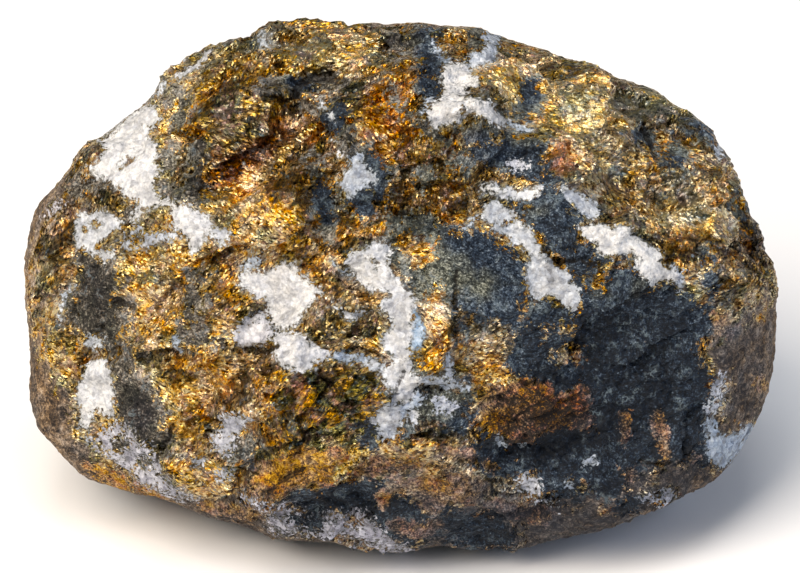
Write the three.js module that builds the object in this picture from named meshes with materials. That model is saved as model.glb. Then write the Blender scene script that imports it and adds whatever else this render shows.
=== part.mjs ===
// Copper ore: a broken lump of brassy chalcopyrite, white vein quartz and dark chlorite rock, all one piece.
//
// The lump is shaped in the frame of its freshly broken face: x runs to the right, y runs up the face and z
// comes out of it. The finished face leans back, and the lump rests on one worn flat on its underside.
// All lengths are millimetres.
import * as THREE from "three";
import { mergeVertices } from "three/addons/utils/BufferGeometryUtils.js";

// ---- Driving dimensions ----------------------------------------------------------------------------------
const FACE_DEPTH = 21.5; // from the rim out to the crown of the broken face
const BACK_DEPTH = 23.0; // from the rim to the crown of the back
const FULLNESS = 2.45; // 2 is an ellipsoid, more is boxier
const LEAN_BACK = 30; // degrees from upright
const BASE_WEAR = 4.2; // height that the worn flat takes off the underside
const ROWS_PER_EDGE = 21; // rows of triangles along each edge of the icosahedron
const FACE_SHIFT = 0.3; // 0 spreads the triangles evenly, more puts more of them on the face
const LOOSENESS = 0.3; // how far a triangle's corner strays, as a share of its side
const EDGE_ROUNDING = 1.8; // width over which two fracture planes blend
const STONE_COLOUR = 0x8a7347; // brass and grey, as the lump looks from far away

// Corners of the rim, seen square on to the broken face, clockwise from the top.
const RIM = [
  [-12.2, 26.3], [-8.5, 26.6], [-6.0, 26.2], [-4.0, 26.3], [0.3, 26.0], [1.5, 26.5], [3.0, 26.1], [7.4, 25.8],
  [9.0, 25.2], [13.1, 24.0], [16.5, 22.6], [19.7, 21.9], [22.2, 20.2], [23.6, 20.1], [25.6, 19.4],
  [28.4, 16.9], [29.7, 16.5], [31.5, 14.6], [34.0, 10.6], [33.8, 9.6], [34.6, 8.5], [36.0, 5.9], [37.4, 1.9],
  [37.7, -2.7], [37.5, -7.5], [37.2, -9.5], [36.9, -11.5], [35.0, -15.1], [32.5, -18.7], [30.6, -20.2],
  [27.5, -21.1], [26.6, -21.8], [24.5, -22.4], [22.5, -23.4], [19.1, -24.5], [14.3, -25.5], [11.5, -26.2],
  [6.0, -26.3], [3.1, -25.6], [1.4, -26.4], [-1.9, -26.5], [-5.4, -25.4], [-12.7, -25.2], [-15.0, -24.0],
  [-19.5, -23.0], [-22.9, -21.4], [-25.7, -21.0], [-29.3, -20.1], [-30.9, -19.9], [-34.3, -16.7],
  [-36.2, -13.6], [-37.0, -10.2], [-37.0, -5.6], [-37.5, -1.6], [-37.5, 3.0], [-36.8, 6.2], [-36.3, 7.8],
  [-34.5, 10.3], [-33.5, 11.0], [-32.7, 13.0], [-31.4, 14.2], [-29.8, 14.8], [-25.9, 17.8], [-24.8, 19.0],
  [-23.7, 20.8], [-20.5, 23.0], [-19.0, 24.0], [-17.2, 24.5], [-15.0, 25.0],
];

// Planes that the lump broke along: the way each one faces, and its distance from the middle of the lump.
const FRACTURES = [
  { facing: [0.06, -0.72, 0.69], distance: 23.6 }, // undercut band along the bottom of the face
  { facing: [-0.34, -0.72, 0.6], distance: 25.8 },
  { facing: [0.82, -0.2, 0.53], distance: 33.0 }, // worn right end
  { facing: [0.45, 0.56, 0.7], distance: 25.8 }, // upper right slope
  { facing: [-0.82, -0.04, 0.57], distance: 31.6 }, // worn left end
  { facing: [0.16, 0.1, 0.98], distance: 21.0 }, // flat of dark rock right of the middle
  { facing: [0.34, -0.36, 0.87], distance: 22.6 }, // dark slope at the lower right
  { facing: [-0.44, 0.44, 0.78], distance: 24.6 }, // upper left shoulder
  { facing: [0.02, 0.8, 0.6], distance: 24.6 }, // top band
  { facing: [-0.5, -0.36, 0.79], distance: 25.6 }, // lower left slope
  { facing: [0.1, 0.62, -0.78], distance: 25.4 }, // the back, from here on
  { facing: [-0.55, 0.1, -0.83], distance: 28.6 },
  { facing: [0.6, 0.22, -0.77], distance: 29.4 },
  { facing: [0.05, -0.25, -0.97], distance: 21.8 },
  { facing: [-0.8, 0.3, -0.52], distance: 33.0 },
  { facing: [0.8, -0.3, -0.52], distance: 34.0 },
];

// Swellings (+) and hollows (-) of the face: where, half length and half width, turn of the length, height.
const MOUNDS = [
  { at: [-15.6, 16.6], size: [7.0, 5.0], turn: 30, height: 1.7 }, // brown boss at the upper left
  { at: [-13.9, 12.4], size: [7.4, 3.0], turn: 38, height: -2.2 }, // hollow under the boss
  { at: [-10.5, 7.4], size: [6.0, 3.6], turn: 55, height: 1.4 }, // bright knob below it
  { at: [-6.8, 8.2], size: [4.6, 1.7], turn: 78, height: -1.8 }, // dark slot right of the knob
  { at: [-2.6, 6.6], size: [4.2, 2.8], turn: 20, height: 1.1 },
  { at: [-2.6, 17.0], size: [6.0, 3.8], turn: -62, height: -1.3 }, // amber hollow
  { at: [-9.4, 20.6], size: [4.0, 1.8], turn: 12, height: -1.0 },
  { at: [12.6, 17.6], size: [3.2, 2.4], turn: 75, height: -1.5 }, // dark pit at the upper right
  { at: [8.8, 19.0], size: [3.6, 2.6], turn: 40, height: 0.9 },
  { at: [21.0, 17.6], size: [7.0, 2.8], turn: -24, height: 1.2 }, // rib along the upper right slope
  { at: [24.8, 14.4], size: [5.4, 2.0], turn: -30, height: -1.2 },
  { at: [18.4, 12.6], size: [5.0, 2.8], turn: 38, height: 0.7 },
  { at: [29.6, 10.2], size: [4.4, 2.6], turn: -60, height: 0.9 },
  { at: [31.0, 3.0], size: [5.5, 2.8], turn: -66, height: 0.8 },
  { at: [24.4, 8.0], size: [5.8, 2.6], turn: -35, height: -0.9 },
  { at: [22.0, -7.5], size: [11.0, 7.5], turn: -20, height: -0.9 }, // broad dark hollow at the lower right
  { at: [13.4, -12.4], size: [7.6, 3.2], turn: 4, height: 0.8 }, // rusty rib below the middle
  { at: [3.6, -15.4], size: [6.0, 3.0], turn: 10, height: 0.6 },
  { at: [-10.0, -9.6], size: [10.0, 6.0], turn: 14, height: 0.8 }, // brassy swell left of the middle
  { at: [-12.6, -2.2], size: [4.6, 5.0], turn: 20, height: -0.8 }, // white quartz, sunk a little
  { at: [-22.0, -7.5], size: [6.4, 4.8], turn: -30, height: 0.9 },
  { at: [-25.8, 1.2], size: [4.6, 3.8], turn: 10, height: -0.9 },
  { at: [-19.0, 6.4], size: [4.4, 3.0], turn: -30, height: 0.7 },
  { at: [-8.6, -17.4], size: [5.6, 2.9], turn: 24, height: 0.4 },
  { at: [-6.4, -21.6], size: [7.0, 2.0], turn: 8, height: -1.0 },
  { at: [-22.8, -15.6], size: [4.6, 2.6], turn: -36, height: 0.7 },
  { at: [6.6, -21.0], size: [4.8, 2.4], turn: 8, height: 0.7 },
];

// Ledges: the ground on the right of each line, looking along it, drops and comes back over `reach`.
const LEDGES = [
  { from: [-19.8, 11.6], to: [-9.6, 18.6], drop: 1.9, reach: 5.0 }, // under the brown boss
  { from: [-17.0, 3.4], to: [-5.6, 4.6], drop: 0.9, reach: 4.6 }, // above the white quartz
    { from: [-4.0, -19.4], to: [-15.0, -21.0], drop: -1.7, reach: 6.5 }, // lower edge of the ochre slab
  { from: [6.5, -9.4], to: [19.5, -9.8], drop: -0.5, reach: 3.6 },
  { from: [6.8, -15.8], to: [19.0, -14.8], drop: 0.6, reach: 4.5 },
  { from: [13.4, 15.2], to: [23.4, 19.2], drop: 0.9, reach: 4.4 },
  { from: [14.6, 8.6], to: [24.0, 13.0], drop: 0.6, reach: 4.4 },
  { from: [-14.0, 20.6], to: [-6.6, 22.4], drop: 0.9, reach: 4.0 },
  { from: [-32.0, -3.0], to: [-24.8, -0.2], drop: 0.9, reach: 3.6 },
  { from: [-24.5, -9.4], to: [-12.0, -6.0], drop: 0.9, reach: 4.0 },
];
const LEDGE_RUN = 1.1; // width of the steep part of a ledge

// Flat-faced broken ground, largest blocks first, and the soft swells that bend it.
const FACETS = [
  { size: 10.0, height: 1.5, seed: 11 },
  { size: 5.0, height: 0.95, seed: 23 },
  { size: 2.6, height: 0.55, seed: 37 },
];
const SWELLS = [
  { size: 17.0, height: 0.9, seed: 5 },
  { size: 8.0, height: 0.35, seed: 7 },
];
const BEND = 1.6; // how far the swells push the facets out of line
const RIND_CALM = 0.4; // share of the broken ground that is left on the worn rind
const SLOPE_CALM = 0.55; // and on the even dark rock of the lower right slope

// ---- Small mathematics -----------------------------------------------------------------------------------
const { clamp, lerp, smoothstep, degToRad } = THREE.MathUtils;

// A number from -1 to 1 that depends only on three whole numbers and a seed.
function chance(i, j, k, seed) {
  let h = Math.imul(i, 374761393) ^ Math.imul(j, 668265263);
  h ^= Math.imul(k, 2147483647) ^ Math.imul(seed, 1274126177);
  h = Math.imul(h ^ (h >>> 13), 1103515245);
  h = Math.imul(h ^ (h >>> 16), 2246822519);
  return ((h ^ (h >>> 15)) >>> 0) / 2147483648 - 1;
}

// Smooth noise from -1 to 1, with one swell to each unit.
function swell(p, seed) {
  const cell = [Math.floor(p.x), Math.floor(p.y), Math.floor(p.z)];
  const part = [p.x - cell[0], p.y - cell[1], p.z - cell[2]].map((t) => t * t * (3 - 2 * t));
  let sum = 0;
  for (const dx of [0, 1])
    for (const dy of [0, 1])
      for (const dz of [0, 1]) {
        const share = Math.abs(1 - dx - part[0]) * Math.abs(1 - dy - part[1]) * Math.abs(1 - dz - part[2]);
        sum += share * chance(cell[0] + dx, cell[1] + dy, cell[2] + dz, seed);
      }
  return sum;
}

// Flat-faced noise from -1 to 1: space is cut into unit tetrahedra, and the height is linear inside each.
function facet(p, seed) {
  const skew = (p.x + p.y + p.z) / 3;
  const place = [p.x + skew, p.y + skew, p.z + skew];
  const corner = place.map(Math.floor);
  const part = place.map((value, axis) => value - corner[axis]);
  let height = 0;
  let left = 1;
  for (const axis of [0, 1, 2].sort((a, b) => part[b] - part[a])) {
    height += (left - part[axis]) * chance(...corner, seed);
    left = part[axis];
    corner[axis] += 1;
  }
  return height + left * chance(...corner, seed);
}

// The smaller of two lengths, blended where they are within `width` of each other.
function smoothMin(a, b, width) {
  const share = clamp(0.5 + (0.5 * (b - a)) / width, 0, 1);
  return lerp(b, a, share) - width * share * (1 - share);
}

// ---- The lump, one point for each direction from its middle ----------------------------------------------

// Distance from the middle of the rim to the rim itself, along a direction (x, y) of length 1.
function rimReach(x, y) {
  for (let n = 0; n < RIM.length; n++) {
    const [ax, ay] = RIM[n];
    const [bx, by] = RIM[(n + 1) % RIM.length];
    const cross = x * (by - ay) - y * (bx - ax);
    const along = (ax * y - ay * x) / cross; // where on the side from a to b
    const reach = (ax * (by - ay) - ay * (bx - ax)) / cross;
    if (reach > 0 && along >= -1e-9 && along <= 1 + 1e-9) return reach;
  }
  throw new Error("the rim does not go all the way round");
}

// The rounded body before it broke, trimmed by the fracture planes.
function bodyReach(direction) {
  const across = Math.hypot(direction.x, direction.y);
  const rim = across > 1e-6 ? rimReach(direction.x / across, direction.y / across) : 1;
  const depth = direction.z > 0 ? FACE_DEPTH : BACK_DEPTH;
  const full = (across / rim) ** FULLNESS + (Math.abs(direction.z) / depth) ** FULLNESS;
  let reach = full ** (-1 / FULLNESS);
  for (const { facing, distance } of FRACTURES) {
    const along = direction.dot(new THREE.Vector3(...facing).normalize());
    if (along > 0.05) reach = smoothMin(reach, distance / along, EDGE_ROUNDING);
  }
  return reach;
}

function moundHeight(x, y, { at, size, turn, height }) {
  const c = Math.cos(degToRad(turn));
  const s = Math.sin(degToRad(turn));
  const along = ((x - at[0]) * c + (y - at[1]) * s) / size[0];
  const across = ((y - at[1]) * c - (x - at[0]) * s) / size[1];
  return height * (1 - smoothstep(Math.hypot(along, across), 0.3, 1.2));
}

function ledgeHeight(x, y, { from, to, drop, reach }) {
  const run = Math.hypot(to[0] - from[0], to[1] - from[1]);
  const ux = (to[0] - from[0]) / run;
  const uy = (to[1] - from[1]) / run;
  const along = (x - from[0]) * ux + (y - from[1]) * uy;
  const right = (x - from[0]) * uy - (y - from[1]) * ux;
  const ends = smoothstep(along, -1, 2) * (1 - smoothstep(along, run - 2, run + 1));
  const half = LEDGE_RUN / 2;
  return -drop * ends * smoothstep(right, -half, half) * (1 - smoothstep(right, half, reach));
}

// How much of the worn rind covers a point: both ends, the underside and most of the back.
function rindShare(p) {
  const leftEnd = smoothstep(-p.x, 32.5, 35.5);
  const rightEnd = smoothstep(p.x - 0.35 * p.y, 33.5, 36.5);
  const underside = smoothstep(-p.y, 20.5, 23.5);
  const back = smoothstep(-p.z, 3, 9);
  return Math.max(leftEnd, rightEnd, underside, 0.8 * back);
}

// How much of the fine, even dark rock of the lower right slope lies at a point.
function darkSlopeShare(p) {
  const across = smoothstep(p.x, 11, 14) * (1 - smoothstep(p.x, 30, 32));
  return across * smoothstep(-p.y, -1, 2) * (1 - smoothstep(-p.y, 17, 19)) * smoothstep(p.z, 2, 6);
}

// How far the broken ground stands above the body at a point.
function reliefHeight(p) {
  const broken = lerp(1, RIND_CALM, rindShare(p)) * lerp(1, SLOPE_CALM, darkSlopeShare(p));
  let height = 0;
  for (const { size, height: most, seed } of SWELLS)
    height += most * swell(p.clone().divideScalar(size), seed);
  const bent = p.clone();
  bent.x += BEND * swell(p.clone().divideScalar(6), 41);
  bent.y += BEND * swell(p.clone().divideScalar(6), 42);
  bent.z += BEND * swell(p.clone().divideScalar(6), 43);
  for (const { size, height: most, seed } of FACETS)
    height += broken * most * facet(bent.clone().divideScalar(size), seed);
  const onFace = smoothstep(p.z, 1, 6);
  if (onFace > 0) {
    const uneven = p.clone().lerp(bent, 0.4);
    for (const mound of MOUNDS) height += onFace * moundHeight(uneven.x, uneven.y, mound);
    for (const ledge of LEDGES) height += onFace * ledgeHeight(uneven.x, uneven.y, ledge);
  }
  return height;
}

function surfacePoint(direction) {
  const point = direction.clone().multiplyScalar(bodyReach(direction));
  const outward = new THREE.Vector3(direction.x * 0.5, direction.y * 0.5, direction.z).normalize();
  const offRim = smoothstep(Math.abs(direction.z), 0, 0.25);
  point.addScaledVector(outward, reliefHeight(point) * lerp(0.1, 1, offRim));
  const across = Math.hypot(point.x, point.y);
  if (across < 1) return point;
  const inside = Math.min(1, rimReach(point.x / across, point.y / across) / across); // never past the rim
  return point.set(point.x * inside, point.y * inside, point.z);
}

// A closed ball of triangles pushed out to the surface, more of them on the face than on the back.
function lumpGeometry() {
  const ball = new THREE.IcosahedronGeometry(1, ROWS_PER_EDGE);
  ball.deleteAttribute("normal");
  ball.deleteAttribute("uv");
  const geometry = mergeVertices(ball, 1e-4);
  const places = geometry.attributes.position;
  const side = 1.1 / ROWS_PER_EDGE; // a triangle's side on the ball of radius 1
  const stray = LOOSENESS * side;
  const direction = new THREE.Vector3();
  for (let n = 0; n < places.count; n++) {
    direction.fromBufferAttribute(places, n);
    direction.x += stray * chance(n, 1, 0, 1);
    direction.y += stray * chance(n, 2, 0, 1);
    direction.z += stray * chance(n, 3, 0, 1) + FACE_SHIFT;
    direction.multiply(new THREE.Vector3(36, 26, 21)).normalize();
    const point = surfacePoint(direction);
    places.setXYZ(n, point.x, point.y, point.z);
  }
  return geometry;
}

// Turns the face frame so that the face leans back and +Z is up, and wears the underside flat at z = 0.
function restOnFlat(geometry) {
  geometry.rotateX(degToRad(90 - LEAN_BACK));
  geometry.computeBoundingBox();
  const { min, max } = geometry.boundingBox.clone();
  geometry.translate(-(min.x + max.x) / 2, -(min.y + max.y) / 2, -min.z - BASE_WEAR);
  const places = geometry.attributes.position;
  for (let n = 0; n < places.count; n++) places.setZ(n, Math.max(0, places.getZ(n)));
  geometry.computeVertexNormals();
  return geometry;
}

const stone = new THREE.MeshStandardMaterial({ color: STONE_COLOUR, roughness: 0.55, metalness: 0.35 });
const copperOre = new THREE.Mesh(restOnFlat(lumpGeometry()), stone);
copperOre.name = "copper_ore";

const lump = new THREE.Group();
lump.add(copperOre);
export default lump;
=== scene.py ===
# %% [markdown]
# # A lump of copper ore
# The stone is a hand-sized piece of vein ore: brassy chalcopyrite (copper iron sulphide) grown through
# white vein quartz and dark chlorite rock, broken open on one side and weathered brown round its rim and
# back. The solid model gives the lump its form. Here that form gets its minerals: where each one lies, how
# its broken surface stands up or sinks, and how it takes the light.

# %% Tools and frame
import math
import bpy
import bmesh
import numpy as np
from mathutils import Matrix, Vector, noise


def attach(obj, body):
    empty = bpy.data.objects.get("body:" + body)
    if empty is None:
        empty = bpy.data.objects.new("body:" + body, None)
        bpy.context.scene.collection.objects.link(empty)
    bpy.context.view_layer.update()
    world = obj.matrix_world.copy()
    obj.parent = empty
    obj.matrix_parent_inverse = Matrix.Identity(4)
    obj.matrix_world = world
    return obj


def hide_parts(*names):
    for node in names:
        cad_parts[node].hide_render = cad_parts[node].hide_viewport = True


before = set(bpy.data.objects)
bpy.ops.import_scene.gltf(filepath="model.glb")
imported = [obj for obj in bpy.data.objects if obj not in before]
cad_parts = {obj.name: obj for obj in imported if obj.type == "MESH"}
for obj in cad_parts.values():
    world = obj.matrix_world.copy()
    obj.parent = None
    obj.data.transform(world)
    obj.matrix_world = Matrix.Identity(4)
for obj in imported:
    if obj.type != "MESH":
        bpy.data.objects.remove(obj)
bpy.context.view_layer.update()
lump_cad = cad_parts["copper_ore"]

# %% [markdown]
# ## Colours and nodes
# Colours are written as they look on a screen (sRGB hex) and turned to the linear light that Blender mixes.
# One helper adds a node, sets it and joins it up, so that each tree reads as a list of steps.


# %% Helpers
def linear(code):
    """A hex colour such as #c89a4a as linear red, green, blue, alpha."""
    parts = [int(code[i:i + 2], 16) / 255 for i in (1, 3, 5)]
    return [c / 12.92 if c <= 0.04045 else ((c + 0.055) / 1.055) ** 2.4 for c in parts] + [1.0]


def add_node(tree, kind, inputs=None, output=0, **settings):
    """Adds a node, makes its settings, sets or joins its inputs, and gives back one of its outputs."""
    node = tree.nodes.new(kind)
    for name, value in settings.items():
        setattr(node, name, value)
    for key, value in (inputs or {}).items():
        if isinstance(value, bpy.types.NodeSocket):
            tree.links.new(value, node.inputs[key])
        else:
            node.inputs[key].default_value = value
    return node.outputs[output] if node.outputs else None


def fill_ramp(ramp, steps):
    """Gives a ramp its colour stops: {position: hex colour}."""
    while len(ramp.elements) > 1:
        ramp.elements.remove(ramp.elements[-1])
    for i, (place, code) in enumerate(sorted(steps.items())):
        stop = ramp.elements[0] if i == 0 else ramp.elements.new(place)
        stop.position, stop.color = place, linear(code)


print("mid brass in linear light:", [round(c, 3) for c in linear("#b08a3a")[:3]])

# %% [markdown]
# ## The face map
# Minerals are laid out on the broken face as a geologist maps an outcrop: looking square at it, with x to
# the right and y down, in tenths of a millimetre. The face leans back by 30 degrees, and the map is drawn
# as the eye sees it from a little over half a metre, so that a point nearer the eye sits further from the
# middle.

# %% Face frame and map
MM = 0.001  # a millimetre, in metres
LEAN_BACK = math.radians(30)
FACE_MIDDLE = np.array([-0.060, -0.385, 22.866])  # mm, in the row frame
FACE_RIGHT = np.array([1.0, 0.0, 0.0])
FACE_UP = np.array([0.0, math.sin(LEAN_BACK), math.cos(LEAN_BACK)])
FACE_OUT = np.array([0.0, -math.cos(LEAN_BACK), math.sin(LEAN_BACK)])
EYE_DISTANCE = 556.0  # mm from the middle of the face to the eye
MAP_MIDDLE = (400.0, 285.0)
MAP_SCALE = 10.0  # map units in a millimetre


def on_face_map(points):
    """Map x, map y and height over the rim plane (mm) of points given in mm."""
    away = points - FACE_MIDDLE
    height = away @ FACE_OUT
    shrink = EYE_DISTANCE / (EYE_DISTANCE - height)
    x = MAP_MIDDLE[0] + MAP_SCALE * (away @ FACE_RIGHT) * shrink
    y = MAP_MIDDLE[1] - MAP_SCALE * (away @ FACE_UP) * shrink
    return x, y, height


print("10 mm to the right of the middle is x", round(float(on_face_map(FACE_MIDDLE + 10 * FACE_RIGHT)[0])))

# %% [markdown]
# ## A finer skin for the lump
# The solid has about ten thousand triangles, each a millimetre or two across: right for collisions, too
# coarse for a broken mineral surface. A copy is merged into one closed skin and each triangle is cut in
# four, twice. The new corners are placed by the rule of Loop's subdivision, which keeps the form and rounds
# the joints.


# %% Closed skin of the lump
def closed_skin(source):
    """Vertices in mm and triangles of a mesh, with its doubled corners merged."""
    work = bmesh.new()
    work.from_mesh(source)
    bmesh.ops.remove_doubles(work, verts=work.verts, dist=1e-6)
    bmesh.ops.triangulate(work, faces=work.faces)
    points = np.array([v.co for v in work.verts]) / MM
    faces = np.array([[v.index for v in f.verts] for f in work.faces])
    work.free()
    return points, faces


def cut_in_four(points, faces, sharp):
    """One step of Loop subdivision of a closed triangle mesh, held back where a corner is sharp (0 to 1)."""
    sides = np.concatenate([faces[:, [0, 1]], faces[:, [1, 2]], faces[:, [2, 0]]])
    opposite = np.concatenate([faces[:, 2], faces[:, 0], faces[:, 1]])
    ends, which = np.unique(np.sort(sides, 1), axis=0, return_inverse=True)
    which = which.ravel()
    across = np.zeros((len(ends), 3))
    np.add.at(across, which, points[opposite])
    plain = (points[ends[:, 0]] + points[ends[:, 1]]) / 2
    sharp_middle = (sharp[ends[:, 0]] + sharp[ends[:, 1]]) / 2
    middle = plain + (0.125 * across - 0.25 * plain) * (1 - sharp_middle)[:, None]
    around = np.zeros_like(points)
    count = np.zeros(len(points))
    for a, b in ((0, 1), (1, 0)):
        np.add.at(around, ends[:, a], points[ends[:, b]])
        np.add.at(count, ends[:, a], 1)
    pull = (0.625 - (0.375 + 0.25 * np.cos(2 * np.pi / count)) ** 2) / count
    pull *= 1 - sharp
    kept = points * (1 - count * pull)[:, None] + around * pull[:, None]
    ab, bc, ca = (len(points) + part for part in np.split(which, 3))
    a, b, c = faces.T
    finer = [np.stack(t, 1) for t in ((a, ab, ca), (ab, b, bc), (ca, bc, c), (ab, bc, ca))]
    return np.concatenate([kept, middle]), np.concatenate(finer), np.concatenate([sharp, sharp_middle])


BACK_SHARP, FACE_SHARPER = 0.1, 0.75  # the worn back is rounder than the broken face
SHARPEN_START, SHARPEN_DEPTH = -1.0, 3.0  # mm over the plane of the rim
CUTS = 2
skin_points, skin_faces = closed_skin(lump_cad.data)
sharpness = np.clip((on_face_map(skin_points)[2] - SHARPEN_START) / SHARPEN_DEPTH, 0, 1)
sharpness = FACE_SHARPER * sharpness + BACK_SHARP
for _ in range(CUTS):
    skin_points, skin_faces, sharpness = cut_in_four(skin_points, skin_faces, sharpness)
skin_points[:, 2] = np.maximum(skin_points[:, 2], 0)
print("skin:", len(skin_points), "vertices,", len(skin_faces), "triangles")

# %% [markdown]
# ## Where each mineral lies
# Every patch is an outline on the face map. What the skin keeps is the distance in millimetres to the
# nearest edge of each mineral, positive inside, so that the material can fray the edge grain by grain, far
# finer than the mesh. Smoother things, such as how blue the quartz looks, are kept as soft ellipses.

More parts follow.
